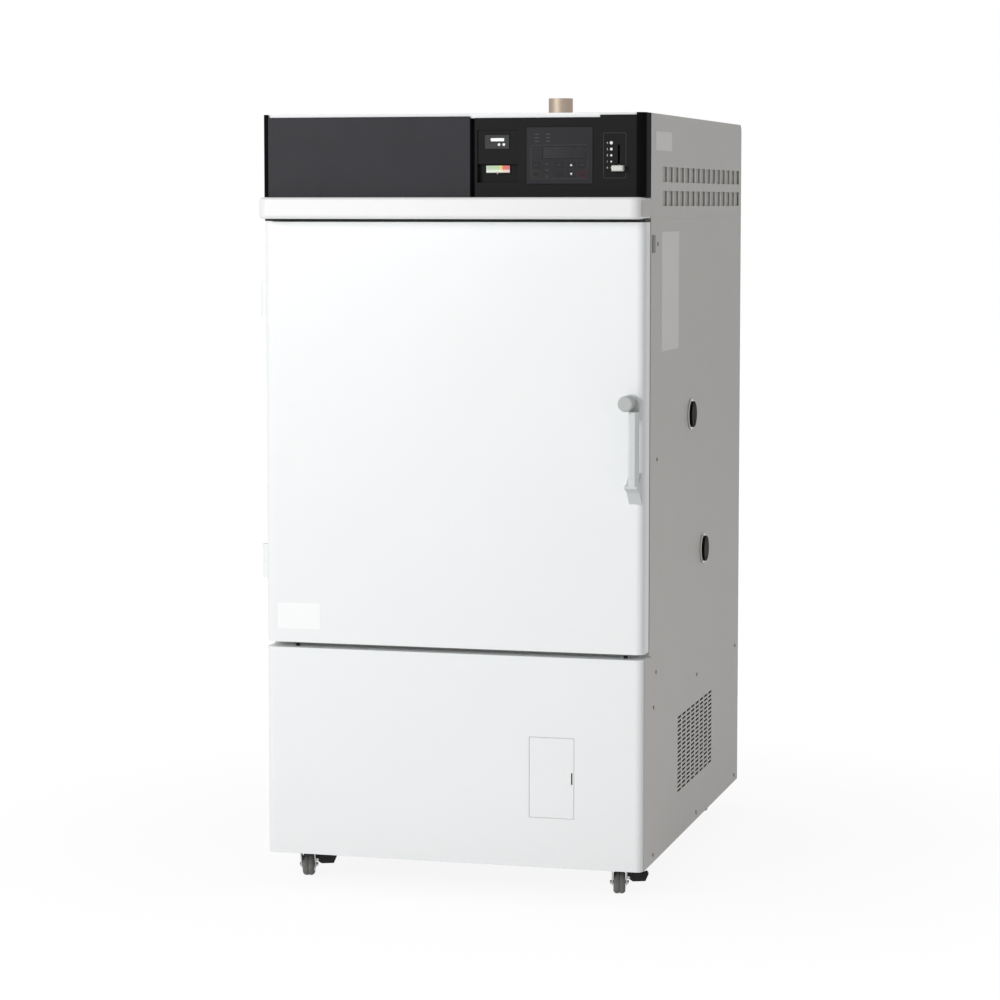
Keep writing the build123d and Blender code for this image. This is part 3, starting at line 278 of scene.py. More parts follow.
def bump(tree, height, strength, distance):
    """A Bump node's normal from a height."""
    node = tree.nodes.new("ShaderNodeBump")
    for label, value in (("Strength", strength), ("Distance", distance), ("Height", height)):
        feed(tree, node.inputs[label], value)
    return node.outputs["Normal"]


def tinted(tree, colour, level):
    """The colour multiplied by a grey level that changes over the surface."""
    tone = tree.nodes.new("ShaderNodeCombineColor")
    for channel in ("Red", "Green", "Blue"):
        tree.links.new(level, tone.inputs[channel])
    return mix_colour(tree, 1.0, colour, tone.outputs["Color"], "MULTIPLY")


def around(tree, value, middle, spread):
    """The middle plus the spread times the value less a half: a gentle wander either side."""
    shift = math_node(tree, "SUBTRACT", value, 0.5)
    return math_node(tree, "ADD", middle, math_node(tree, "MULTIPLY", shift, spread))


def grain_group():
    """Colour clouds, roughness clouds and a fine pebbled skin, all from noise on object coordinates."""
    group, given, result = new_group(
        "grain",
        [("Color", "NodeSocketColor", (0.8, 0.8, 0.8, 1)), ("Cloud", "NodeSocketFloat", 0.04),
         ("Pebble Size", "NodeSocketFloat", 900.0), ("Pebble Depth", "NodeSocketFloat", 0.0002),
         ("Roughness", "NodeSocketFloat", 0.4), ("Roughness Spread", "NodeSocketFloat", 0.08)],
        [("Color", "NodeSocketColor"), ("Roughness", "NodeSocketFloat"), ("Normal", "NodeSocketVector")],
    )
    place = group.nodes.new("ShaderNodeTexCoord").outputs["Object"]
    level = around(group, noise(group, place, CLOUDS_PER_METRE, 4.0), 1.0, given.outputs["Cloud"])
    group.links.new(tinted(group, given.outputs["Color"], level), result.inputs["Color"])
    smears = noise(group, place, SMEARS_PER_METRE, 5.0, 0.6)
    rough = around(group, smears, given.outputs["Roughness"], given.outputs["Roughness Spread"])
    group.links.new(rough, result.inputs["Roughness"])
    pebbles = noise(group, place, given.outputs["Pebble Size"], 2.0, 0.5)
    group.links.new(bump(group, pebbles, 0.6, given.outputs["Pebble Depth"]), result.inputs["Normal"])
    return group


def streak_group():
    """Long fine streaks of rolled or brushed metal: noise stretched along one axis by the Stretch vector."""
    group, given, result = new_group(
        "streaks",
        [("Color", "NodeSocketColor", (0.6, 0.6, 0.6, 1)), ("Stretch", "NodeSocketVector", (2.0, 2.0, 400.0)),
         ("Contrast", "NodeSocketFloat", 0.25), ("Depth", "NodeSocketFloat", 0.00004),
         ("Roughness", "NodeSocketFloat", 0.32)],
        [("Color", "NodeSocketColor"), ("Roughness", "NodeSocketFloat"), ("Normal", "NodeSocketVector")],
    )
    place = group.nodes.new("ShaderNodeTexCoord").outputs["Object"]
    stretched = group.nodes.new("ShaderNodeVectorMath")
    stretched.operation = "MULTIPLY"
    group.links.new(place, stretched.inputs[0])
    group.links.new(given.outputs["Stretch"], stretched.inputs[1])
    lines = noise(group, stretched.outputs["Vector"], LINES_PER_METRE, 6.0, 0.6)
    stains = noise(group, place, STAINS_PER_METRE, 3.0)
    weighted = math_node(group, "MULTIPLY", lines, LINE_SHARE)
    both = math_node(group, "ADD", weighted, math_node(group, "MULTIPLY", stains, 1 - LINE_SHARE))
    level = around(group, both, 1.0, given.outputs["Contrast"])
    group.links.new(tinted(group, given.outputs["Color"], level), result.inputs["Color"])
    rough = around(group, lines, given.outputs["Roughness"], ROUGHER_ALONG_LINES)
    group.links.new(rough, result.inputs["Roughness"])
    group.links.new(bump(group, lines, 0.5, given.outputs["Depth"]), result.inputs["Normal"])
    return group


def dust_group():
    """Dust and scuffs that gather near the floor: a mask that fades with height, broken up by noise."""
    group, given, result = new_group(
        "floor_dust",
        [("Reach", "NodeSocketFloat", 0.25), ("Amount", "NodeSocketFloat", 0.25)],
        [("Mask", "NodeSocketFloat")],
    )
    place = group.nodes.new("ShaderNodeTexCoord").outputs["Object"]
    split = group.nodes.new("ShaderNodeSeparateXYZ")
    group.links.new(place, split.inputs["Vector"])
    share = math_node(group, "DIVIDE", split.outputs["Z"], given.outputs["Reach"], True)
    low = math_node(group, "SUBTRACT", 1.0, share)
    broken = math_node(group, "MULTIPLY", low, noise(group, place, SCUFFS_PER_METRE, 6.0, 0.7))
    mask = math_node(group, "MULTIPLY", broken, given.outputs["Amount"], True)
    group.links.new(mask, result.inputs["Mask"])
    return group


GRAIN = grain_group()
STREAKS = streak_group()
DUST = dust_group()
print("groups:", [g.name for g in (GRAIN, STREAKS, DUST)])

# %% [markdown]
# One function lays a grained finish, such as paint, plastic or rubber, and another a streaked
# metal. Each returns a material whose shader stays outside the groups, with its constant values on its own
# sockets.

# %% Materials
DUST_ON_PAINT, DUST_ON_METAL = (0.33, 0.31, 0.28, 1), (0.25, 0.23, 0.2, 1)
COAT_ROUGHNESS = 0.15


def place_group(tree, group, values):
    """Puts a group into a material and sets its named inputs."""
    node = tree.nodes.new("ShaderNodeGroup")
    node.node_tree = group
    for label, value in values.items():
        node.inputs[label].default_value = value
    return node


def shader_of(name):
    """A new material, its node tree and its Principled shader."""
    material = bpy.data.materials.new(name)
    material.use_nodes = True
    return material, material.node_tree, material.node_tree.nodes["Principled BSDF"]


def finish_with(tree, shader, skin, dusty, dust_colour):
    """Links a group's colour, roughness and normal to the shader, with floor dust over the colour."""
    colour = skin.outputs["Color"]
    if dusty > 0:
        dust = place_group(tree, DUST, {"Amount": dusty})
        colour = mix_colour(tree, dust.outputs["Mask"], colour, dust_colour)
    tree.links.new(colour, shader.inputs["Base Color"])
    tree.links.new(skin.outputs["Roughness"], shader.inputs["Roughness"])
    tree.links.new(skin.outputs["Normal"], shader.inputs["Normal"])


def grained(name, colour, roughness, cloud=0.03, pebble=900.0, depth=0.0001, spread=0.06, coat=0.0,
            dusty=0.0, level=0.5):
    """Paint, moulded plastic or rubber: a solid colour with clouds, a pebbled skin and floor dust."""
    material, tree, shader = shader_of(name)
    skin = place_group(tree, GRAIN, {
        "Color": (*colour, 1), "Cloud": cloud, "Pebble Size": pebble, "Pebble Depth": depth,
        "Roughness": roughness, "Roughness Spread": spread})
    finish_with(tree, shader, skin, dusty, DUST_ON_PAINT)
    shader.inputs["Coat Weight"].default_value = coat
    shader.inputs["Coat Roughness"].default_value = COAT_ROUGHNESS
    shader.inputs["Specular IOR Level"].default_value = level
    return material


def streaked(name, colour, roughness, stretch=(2.0, 2.0, 400.0), contrast=0.25, depth=0.00004, dusty=0.0):
    """Bare metal with rolling or brushing streaks."""
    material, tree, shader = shader_of(name)
    skin = place_group(tree, STREAKS, {
        "Color": (*colour, 1), "Stretch": stretch, "Contrast": contrast, "Depth": depth,
        "Roughness": roughness})
    finish_with(tree, shader, skin, dusty, DUST_ON_METAL)
    shader.inputs["Metallic"].default_value = 1.0
    return material


FINISH = {
    "front_white": grained("front_white", (0.81, 0.825, 0.83), 0.36, cloud=0.02, pebble=700.0, depth=0.00012,
                           coat=0.1, dusty=0.08, level=0.4),
    # body_paint is the body's warm grey paint, made darker than the paint really is as painted shade for the sides
    # turned from the light.
    "body_paint": grained("body_paint", (0.56, 0.543, 0.522), 0.5, cloud=0.04, pebble=620.0, depth=0.00022,
                          dusty=0.12, level=0.3),
    "trim_white": grained("trim_white", (0.76, 0.765, 0.76), 0.35, cloud=0.02, pebble=700.0, depth=0.0001,
                          coat=0.1, level=0.4),
    "fascia_black": grained("fascia_black", (0.029, 0.028, 0.033), 0.45, cloud=0.18, pebble=1500.0,
                            depth=0.00009, spread=0.12, level=0.11),
    "cheek_black": grained("cheek_black", (0.005, 0.005, 0.0055), 0.5, cloud=0.12, pebble=1500.0,
                           depth=0.00005, level=0.01),
    "instrument": grained("instrument", (0.014, 0.0135, 0.016), 0.42, cloud=0.12, pebble=1700.0,
                          depth=0.00006, level=0.15),
    "gauge": grained("gauge", (0.01, 0.01, 0.011), 0.3, cloud=0.1, pebble=1700.0, depth=0.00004, level=0.15),
    "key_grey": grained("key_grey", (0.80, 0.81, 0.81), 0.4, pebble=1500.0, depth=0.00004),
    "knob": grained("knob", (0.60, 0.61, 0.58), 0.45, pebble=1200.0, depth=0.00006, level=0.3),
    "handle_grey": grained("handle_grey", (0.60, 0.62, 0.62), 0.4, cloud=0.04, pebble=1300.0, depth=0.00006,
                           level=0.4),
    "stainless": streaked("stainless", (0.50, 0.49, 0.47), 0.3, stretch=(2.0, 60.0, 400.0)),
    "exhaust": streaked("exhaust", (0.45, 0.37, 0.30), 0.56, stretch=(3.0, 3.0, 300.0), contrast=0.35),
    "zinc": streaked("zinc", (0.50, 0.51, 0.52), 0.36, stretch=(40.0, 40.0, 40.0), contrast=0.3, dusty=0.5),
    "gasket": grained("gasket", (0.025, 0.025, 0.026), 0.62, cloud=0.2, pebble=500.0, depth=0.0002,
                      level=0.2),
    "black_plastic": grained("black_plastic", (0.009, 0.009, 0.0095), 0.45, cloud=0.3, pebble=1100.0,
                             depth=0.00012, dusty=0.1, level=0.15),
    "tyre": grained("tyre", (0.13, 0.132, 0.13), 0.6, cloud=0.25, pebble=800.0, depth=0.0003, dusty=0.6,
                    level=0.25),
    "insulation": grained("insulation", (0.62, 0.56, 0.42), 0.95, cloud=0.4, pebble=180.0, depth=0.004,
                          spread=0.0),
    "filter": grained("filter", (0.84, 0.84, 0.80), 0.9, cloud=0.1, pebble=300.0, depth=0.0006, spread=0.0),
    "motor": grained("motor", (0.10, 0.115, 0.125), 0.45, cloud=0.2, pebble=500.0, depth=0.0003),
}
OWN = {
    "control_black": grained("control_black", (0.0105, 0.0105, 0.0115), 0.45, cloud=0.2, pebble=1500.0,
                             depth=0.00009, spread=0.1, level=0.06),
    "keypad": grained("keypad", (0.0165, 0.0165, 0.0195), 0.42, cloud=0.1, pebble=1900.0, depth=0.00004,
                      level=0.12),
    "key_face": grained("key_face", (0.012, 0.012, 0.0145), 0.4, pebble=1900.0, depth=0.00004, level=0.12),
    "display": grained("display", (0.009, 0.009, 0.012), 0.18, cloud=0.3, pebble=60.0, depth=0.00001,
                       level=0.15, coat=0.1),
    "lamp_window": grained("lamp_window", (0.045, 0.045, 0.055), 0.3, pebble=1900.0, depth=0.00002,
                           level=0.15),
    "print_grey": grained("print_grey", (0.062, 0.062, 0.066), 0.6, cloud=0.3, pebble=1900.0, depth=0.00002,
                          level=0.1),
    "print_white": grained("print_white", (0.72, 0.73, 0.73), 0.5, cloud=0.1, pebble=1900.0, depth=0.00002,
                           level=0.2),
    "bezel": grained("bezel", (0.040, 0.040, 0.042), 0.5, cloud=0.2, pebble=1500.0, depth=0.00006,
                     level=0.15),
    "lit_display": grained("lit_display", (0.93, 0.94, 0.94), 0.3, pebble=1900.0, depth=0.00002, level=0.2),
    "start_green": grained("start_green", (0.045, 0.052, 0.014), 0.4, pebble=1900.0, depth=0.00003,
                           level=0.1),
    "stop_red": grained("stop_red", (0.11, 0.012, 0.014), 0.4, pebble=1900.0, depth=0.00003, level=0.1),
    "bare_plate": grained("bare_plate", (0.665, 0.65, 0.63), 0.4, cloud=0.05, pebble=1200.0, depth=0.00004,
                          level=0.3),
    "sticker": grained("sticker", (0.88, 0.89, 0.89), 0.5, cloud=0.03, pebble=1500.0, depth=0.00003,
                       level=0.3),
    "button_grey": grained("button_grey", (0.44, 0.455, 0.445), 0.42, cloud=0.04, pebble=1300.0,
                           depth=0.00006, level=0.3),
    "switch_grey": grained("switch_grey", (0.20, 0.205, 0.19), 0.45, pebble=1200.0, depth=0.00006, level=0.2),
    "plug_black": grained("plug_black", (0.004, 0.004, 0.004), 0.5, cloud=0.2, pebble=1100.0, depth=0.0001,
                          level=0.03),
    "screw_head": grained("screw_head", (0.20, 0.195, 0.19), 0.4, cloud=0.2, pebble=900.0, depth=0.0001,
                          level=0.4),
    # Painted shade: a near-black finish for the sheet behind the grille slots, standing for the dark inside.
    "vent_dark": grained("vent_dark", (0.012, 0.012, 0.012), 0.8, cloud=0.3, pebble=400.0, depth=0.0004,
                         level=0.1),
    # Painted shade: the baffles behind the louvre windows are body paint, made darker for the shade in the recess.
    "louvre_shade": grained("louvre_shade", (0.52, 0.505, 0.485), 0.6, cloud=0.05, pebble=620.0,
                            depth=0.0002, level=0.2),
}
slot_of = {entry["node"]: entry["material_slot"] for entry in frame["record"]["subparts"]}
for name, item in nodes.items():
    item.data.materials.clear()
    item.data.materials.append(FINISH[slot_of[name]])
print("finishes:", len(FINISH) + len(OWN))

# %% [markdown]
# The floor is a sheet of pale paper. Its colour comes mostly from emission in the rays that are
# seen, which keeps it white, and a small share of real shading near the oven keeps the shadow at its
# feet. The share runs out with distance, so that the paper ends in plain white.

# %% Floor
FLOOR_HALF = 30.0
FLOOR_POINTS = 5
SHADOW_FROM, SHADOW_TO = 0.7, 2.0
SHADOW_SHARE = 0.11
FLOOR_LEVEL = -0.0005
PAPER_GLOW = 1.02


def floor_sheet(half_width, level):
    """A square sheet of floor: two parameters u and v from -1 to 1 times the half width."""
    across = np.linspace(-1, 1, FLOOR_POINTS)
    u, v = np.meshgrid(across, across, indexing="ij")
    return np.stack([u * half_width, v * half_width, np.full_like(u, level)], axis=-1)


def floor_paper():
    """Matt paper mixed with plain white emission, whose share grows with the distance from the oven."""
    material, tree, shader = shader_of("floor_paper")
    shader.inputs["Base Color"].default_value = (0.95, 0.95, 0.95, 1)
    shader.inputs["Roughness"].default_value = 0.9
    shader.inputs["Specular IOR Level"].default_value = 0.1
    place = tree.nodes.new("ShaderNodeTexCoord").outputs["Object"]
    tree.links.new(bump(tree, noise(tree, place, 900.0), 0.02, 0.001), shader.inputs["Normal"])
    reach = tree.nodes.new("ShaderNodeVectorMath")
    reach.operation = "LENGTH"
    tree.links.new(place, reach.inputs[0])
    white = between(tree, reach.outputs["Value"], SHADOW_FROM, SHADOW_TO, 1.0 - SHADOW_SHARE, 1.0)
    glow = tree.nodes.new("ShaderNodeEmission")
    glow.inputs["Color"].default_value = (1, 1, 1, 1)
    glow.inputs["Strength"].default_value = PAPER_GLOW
    shade = tree.nodes.new("ShaderNodeMixShader")
    tree.links.new(math_node(tree, "MULTIPLY", seen_rays(tree), white), shade.inputs["Fac"])
    tree.links.new(shader.outputs["BSDF"], shade.inputs[1])
    tree.links.new(glow.outputs["Emission"], shade.inputs[2])
    tree.links.new(shade.outputs["Shader"], tree.nodes["Material Output"].inputs["Surface"])
    return material


floor_grid = grid_faces(FLOOR_POINTS, FLOOR_POINTS)
floor = mesh_object("floor", floor_sheet(FLOOR_HALF, FLOOR_LEVEL), floor_grid, floor_paper())
if floor.data.polygons[0].normal.z < 0:
    floor.data.flip_normals()
floor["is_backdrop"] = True
print("floor of", 2 * FLOOR_HALF, "m")

# %% [markdown]
# The frame's sheet metal has knife edges, which no folded and painted sheet has. Each visible node
# is copied, its loose triangles are merged, and a small bevel follows every sharp edge. Weighted normals
# keep the flats flat, so that light runs only along the softened edge. Where the white front sheets fold
# back at the sides, their sideways faces take the darker grey of the body as painted shade, and the baffles
# behind the louvre windows take a darker grey as painted shade for the recess.

# %% Dress the frame's own pieces
body_of = {node: body for body, group in frame["record"]["behaviour"]["bodies"].items() for node in group}
SHARP = math.radians(32)
NEARLY_FLAT = math.radians(0.4)
LOOSE_POINT = 2e-6
FLATS_WEIGHT = 100
BAFFLE_FROM = 1.9
FOLDED_BACK = 0.92


def finish_piece(item, body, slot, *stands_for):
    """A piece rides on its body and stands for the nodes named, which are hidden; its slot is not used."""
    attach(item, body)
    if stands_for:
        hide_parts(*stands_for)
    return item


def merged_copy(node):
    """The node's triangles with shared corners, flat areas joined into whole faces."""
    shape = bmesh.new()
    shape.from_mesh(nodes[node].data)
    bmesh.ops.remove_doubles(shape, verts=shape.verts, dist=LOOSE_POINT)
    bmesh.ops.dissolve_limit(shape, angle_limit=NEARLY_FLAT, verts=shape.verts, edges=shape.edges)
    mesh = bpy.data.meshes.new(node + "_dressed")
    shape.to_mesh(mesh)
    shape.free()
    return mesh


def dress(node, width, segments=2, finish=None, inner_shade_finish=None):
    """A copy of one node with a bevel along its sharp edges; faces behind the side sheets may take a darker finish as
    painted shade.
    """
    mesh = merged_copy(node)
    mesh.materials.clear()
    mesh.materials.append(finish or FINISH[slot_of[node]])
    if inner_shade_finish:
        mesh.materials.append(inner_shade_finish)
        for face in mesh.polygons:
            from_middle = abs(face.center[0] - middle_x) / MM
            face.material_index = int(from_middle < side_x - BAFFLE_FROM)
    mesh.polygons.foreach_set("use_smooth", np.ones(len(mesh.polygons), dtype=bool))
    mesh.set_sharp_from_angle(angle=SHARP)
    item = bpy.data.objects.new(node + "_dressed", mesh)
    bpy.context.scene.collection.objects.link(item)
    edge = item.modifiers.new("edge", "BEVEL")
    edge.width = width * MM
    edge.segments = segments
    edge.limit_method = "ANGLE"
    edge.angle_limit = SHARP
    flats = item.modifiers.new("flats", "WEIGHTED_NORMAL")
    flats.weight = FLATS_WEIGHT
    flats.keep_sharp = True
    return finish_piece(item, body_of[node], slot_of[node], node)


def paint_shade_on_folds(item, material):
    """Faces whose normal points sideways by more than FOLDED_BACK take the darker grey as painted shade, for the sides
    turned from the light.
    """
    item.data.materials.append(material)
    for face in item.data.polygons:
        face.material_index = int(abs(face.normal[0]) > FOLDED_BACK)


EDGE_WIDTHS = {
    "door_skin": 0.55, "front_frame": 0.25,
    "left_side_panel": 0.5, "right_side_panel": 0.5, "top_cover": 0.5,
    "rear_panel": 0.4, "blank_fascia": 0.6, "pressure_gauge": 0.3,
    "overheat_key_left": 0.4, "overheat_key_right": 0.4, "damper_lever": 0.8, "hinge_leaves": 0.7,
    "hinge_brackets": 0.7, "breaker_flap": 0.3, "breaker": 0.5, "breaker_lever": 0.4,
    "door_liner": 0.5, "door_gasket": 0.8, "door_bumpers": 0.8, "exhaust_duct": 0.7, "damper_flap": 0.3,
    "port_sleeves": 0.9, "power_gland": 0.5,
    "brake_pedal_front_left": 1.4, "brake_pedal_front_right": 1.4, "caster_plates": 0.5,
    "caster_fork_front_left": 0.5, "caster_fork_front_right": 0.5, "caster_fork_rear_left": 0.5,
    "caster_fork_rear_right": 0.5, "latch_tongue": 0.4, "base_frame": 0.5,
    "shelves": 0.3, "shelf_rails": 0.3,
}
for node, width in EDGE_WIDTHS.items():
    dress(node, width)
# The sideways faces of the white front sheets get the body's grey: painted shade, not a second paint.
paint_shade_on_folds(dress("lower_front_panel", 0.7), FINISH["body_paint"])
paint_shade_on_folds(dress("visor_trim", 0.3), FINISH["body_paint"])
dress("control_fascia", 0.35, finish=OWN["control_black"])
dress("controller", 0.4, finish=OWN["keypad"])
dress("overheat_protector", 0.35, finish=OWN["bezel"])
dress("side_screws", 0.5, finish=OWN["screw_head"])
dress("door_switch", 0.5, finish=OWN["switch_grey"])
dress("port_plug_upper", 1.2, finish=OWN["plug_black"])
dress("port_plug_lower", 1.2, finish=OWN["plug_black"])
dress("handle", 2.6, 3)
dress("handle_button", 0.8, finish=OWN["button_grey"])
dress("end_cheeks", 1.2, 3)
# The baffles behind the louvre windows take the darker grey as painted shade.
dress("louvre_panels", 0.4, inner_shade_finish=OWN["louvre_shade"])

# %% [markdown]
# Printed marks, keys, lamp windows and bare plates are all thin patches: an outline on the wall, a
# face that stands a little proud of it with a softened rim, and a back that sinks into the wall. One function
# makes them all, on the front or on the right side.

# %% Thin patches on a wall
FRONT, SIDE = "front", "side"
SINK = 0.15
RIM_SLOPE, RIM_AT_MOST = 0.4, 0.3
RIM_SHARE = 0.6


def onto_wall(pairs, proud, wall, seat):
    """Flat pairs and a height off the wall as points: x and z on the front, y and z on the right side."""
    height = np.broadcast_to(proud, pairs.shape[:-1])
    if wall == FRONT:
        return np.stack([pairs[..., 0], seat - height, pairs[..., 1]], axis=-1)
    return np.stack([seat + height, pairs[..., 0], pairs[..., 1]], axis=-1)


def rounded_outline(low, high, radius, steps=6):
    """Points round a rectangle with quarter-circle corners: centre plus radius times cosine and sine."""
    quarter = np.linspace(0, math.pi / 2, steps)
    angles = quarter[None, :] + np.arange(4)[:, None] * math.pi / 2
    circle = np.stack([np.cos(angles), np.sin(angles)], axis=-1)
    corners = np.array([[high[0], high[1]], [low[0], high[1]], [low[0], low[1]], [high[0], low[1]]])
    inward = np.array([[-1, -1], [1, -1], [1, 1], [-1, 1]])
    return ((corners + inward * radius)[:, None, :] + radius * circle).reshape(-1, 2)


def patch(name, outline, proud, material, slot, wall, seat, body="cabinet"):
    """A face of the outline, drawn in a little at its rim, with an edge down to a closed back in the wall."""
    middle = outline.mean(axis=0)
    reach = np.abs(outline - middle).max()
    drawn_in = middle + (outline - middle) * (1 - min(RIM_SLOPE * proud / reach, RIM_AT_MOST))
    pole = np.tile(middle, (len(outline), 1))
    rows = np.stack([pole, drawn_in, outline, outline, pole])
    heights = np.array([proud, proud, RIM_SHARE * proud, -SINK, -SINK])[:, None]
    points = placed(onto_wall(rows, heights, wall, seat))
    faces = grid_faces(len(rows), len(outline), wrap_columns=True)
    item = mesh_object(name, points, faces, material, smooth=False)
    return finish_piece(item, body, slot)


def plate(name, low, high, radius, proud, material, slot, wall, seat, body="cabinet"):
    """A rounded rectangular patch."""
    return patch(name, rounded_outline(low, high, radius), proud, material, slot, wall, seat, body)


def outline_band(name, low, high, radius, width, proud, material, slot, wall, seat):
    """A printed line round a rounded rectangle: four edges of a flat section carried along the outline."""
    outer = rounded_outline(low, high, radius)
    inset = np.array([width, width])
    inner = rounded_outline(np.array(low) + inset, np.array(high) - inset, radius - width)
    rows = np.stack([outer, outer, inner, inner])
    heights = np.array([-SINK, proud, proud, -SINK])[:, None]
    points = placed(onto_wall(rows, heights, wall, seat))
    item = mesh_object(name, points, grid_faces(len(rows), len(outer), True, True), material, smooth=False)
    return finish_piece(item, "cabinet", slot)


def ring_of(x, z, radius, count=24):
    """Points of a circle round a place on the wall."""
    angle = np.linspace(0, 2 * math.pi, count, endpoint=False)
    return np.stack([x + radius * np.cos(angle), z + radius * np.sin(angle)], axis=-1)


print("patches sink", SINK, "mm into their wall")

# %% [markdown]
# The keypad of the main controller is a sealed sheet with printed fields. A thin line frames it, the
# display is a dark window at its top right, and eight soft keys lie in two rows. In the lower row the
# first is the green start key and the last the red stop key, and the third column holds the arrows.

# %% Keypad of the controller
pad_face = face_of("controller")
PAD_BOX = ((177.6, 1572.4), (305.0, 1645.3))
PAD_CORNER, PAD_LINE = 5.0, 0.9
LINE_PROUD = 0.12
outline_band("keypad_line", *PAD_BOX, PAD_CORNER, PAD_LINE, LINE_PROUD, OWN["print_grey"], "instrument",
             FRONT, pad_face)

KEY_COLUMNS = (189.5, 240.4, 267.1, 290.1)
KEY_ROWS = (1602.4, 1583.0)
KEY_HALF = (8.2, 6.4)
KEY_PROUD, KEY_CORNER = 0.3, 1.6
KEY_RIM, RIM_PROUD, RIM_CORNER = 0.9, 0.22, 2.0
PRINT_ON_KEY = 0.42
STROKE_WIDTH = 1.3
DISPLAY_BOX = ((205.0, 1617.2), (301.5, 1641.0))
DISPLAY_SUNK = 0.6
GLASS_CORNER, GLASS_PROUD = 1.5, 0.3
plate("display_glass", *DISPLAY_BOX, GLASS_CORNER, GLASS_PROUD, OWN["display"], "instrument", FRONT,
      pad_face + DISPLAY_SUNK)
key_tones = {(0, 1): "start_green", (3, 1): "stop_red"}
for column, x in enumerate(KEY_COLUMNS):
    for row, z in enumerate(KEY_ROWS):
        tone = key_tones.get((column, row), "key_face")
        low = (x - KEY_HALF[0], z - KEY_HALF[1])
        high = (x + KEY_HALF[0], z + KEY_HALF[1])
        if tone != "key_face":
            plate(f"key_rim_{column}_{row}", low, high, RIM_CORNER, RIM_PROUD, OWN[tone], "instrument", FRONT,
                  pad_face)
            low = (low[0] + KEY_RIM, low[1] + KEY_RIM)
            high = (high[0] - KEY_RIM, high[1] - KEY_RIM)
        plate(f"key_{column}_{row}", low, high, KEY_CORNER, KEY_PROUD, OWN["key_face"], "instrument", FRONT,
              pad_face)

ARROW_HALF, ARROW_FOOT, ARROW_TIP = 3.0, 2.2, 3.0
arrow_x = KEY_COLUMNS[2]
for row, up in enumerate((1, -1)):
    z = KEY_ROWS[row]
    foot_z = z - ARROW_FOOT * up
    tip_z = z + ARROW_TIP * up
    triangle = np.array([[arrow_x - ARROW_HALF, foot_z], [arrow_x + ARROW_HALF, foot_z], [arrow_x, tip_z]])
    patch(f"arrow_{row}", triangle, PRINT_ON_KEY, OWN["print_white"], "instrument", FRONT, pad_face)


def stroke(start, end, width):
    """A straight printed stroke between two places, as a four-cornered outline."""
    start, end = np.array(start, dtype=float), np.array(end, dtype=float)
    along = (end - start) / np.linalg.norm(end - start)
    across = np.array([-along[1], along[0]]) * width / 2
    return np.array([start - across, end - across, end + across, start + across])


SLASH_HALF = (4.5, 3.6)
BAR_HALF = 4.0
stop_x, stop_z = KEY_COLUMNS[3], KEY_ROWS[1]
slash_low = (stop_x - SLASH_HALF[0], stop_z - SLASH_HALF[1])
slash_high = (stop_x + SLASH_HALF[0], stop_z + SLASH_HALF[1])
patch("stop_slash", stroke(slash_low, slash_high, STROKE_WIDTH), PRINT_ON_KEY, OWN["stop_red"], "instrument",
      FRONT, pad_face)
for index, x in enumerate((KEY_COLUMNS[0], KEY_COLUMNS[1], KEY_COLUMNS[3])):
    bar = stroke((x - BAR_HALF, KEY_ROWS[0]), (x + BAR_HALF, KEY_ROWS[0]), STROKE_WIDTH)
    patch(f"key_bar_{index}", bar, PRINT_ON_KEY, OWN["print_grey"], "instrument", FRONT, pad_face)

LAMP_CORNER = 0.8
MODE_LAMP_X = 213.5
MODE_LAMP_LEVELS = (1604.5, 1591.5, 1578.5)
MODE_LAMP_HALF, MODE_LAMP_PROUD = (3.4, 1.1), 0.25
UNIT_LAMP_COLUMNS = (190.5, 216.0)
UNIT_LAMP_LEVELS = (1668.0, 1660.5, 1653.0)
UNIT_LAMP_HALF, UNIT_LAMP_PROUD = (4.6, 1.2), 0.2
UNIT_FACE_BEHIND = 0.8


def lamp_plate(name, x, z, half, proud, seat):
    """A small lamp window, half its width and height either side of its middle."""
    low, high = (x - half[0], z - half[1]), (x + half[0], z + half[1])
    plate(name, low, high, LAMP_CORNER, proud, OWN["lamp_window"], "instrument", FRONT, seat)


for index, z in enumerate(MODE_LAMP_LEVELS):
    lamp_plate(f"mode_lamp_{index}", MODE_LAMP_X, z, MODE_LAMP_HALF, MODE_LAMP_PROUD, pad_face)
unit_face = pad_face + UNIT_FACE_BEHIND
for column, x in enumerate(UNIT_LAMP_COLUMNS):
    for row, z in enumerate(UNIT_LAMP_LEVELS):
        lamp_plate(f"unit_lamp_{column}_{row}", x, z, UNIT_LAMP_HALF, UNIT_LAMP_PROUD, unit_face)
print("keys", len(KEY_COLUMNS) * len(KEY_ROWS))

# %% [markdown]
# Left of the controller, the overheat protector shows a bright display over its two keys, and the
# pressure gauge shows a coloured scale that runs from pale green through yellow to red. The scale's colours
# change along X in object coordinates, and a paler band along its lower half is a painted highlight.

# %% Overheat protector and pressure gauge
guard_face = face_of("overheat_protector")
GUARD_DISPLAY = ((87.5, 1653.6), (117.5, 1660.4))
GUARD_SUNK = 1.5
WINDOW_CORNER = 0.8
plate("guard_display", *GUARD_DISPLAY, WINDOW_CORNER, GLASS_PROUD, OWN["lit_display"], "instrument", FRONT,
      guard_face + GUARD_SUNK)
GAUGE_LEFT, GAUGE_RIGHT = 75.0, 128.6
GAUGE_BOTTOM, GAUGE_TOP = 1586.6, 1601.6
GAUGE_BEZEL, GAUGE_PROUD = 0.4, 0.5
GAUGE_STOPS = ((0.0, (0.50, 0.62, 0.46)), (0.52, (0.46, 0.62, 0.38)), (0.62, (0.90, 0.66, 0.18)),
               (0.72, (0.72, 0.16, 0.12)), (1.0, (0.62, 0.17, 0.18)))
# The pale band below the middle of the scale is a painted highlight.
HIGHLIGHT_BAND = (0.93, 0.93, 0.90, 1)
HIGHLIGHT_FROM, HIGHLIGHT_TO, HIGHLIGHT_SHARE = 1593.8, 1591.2, 0.62


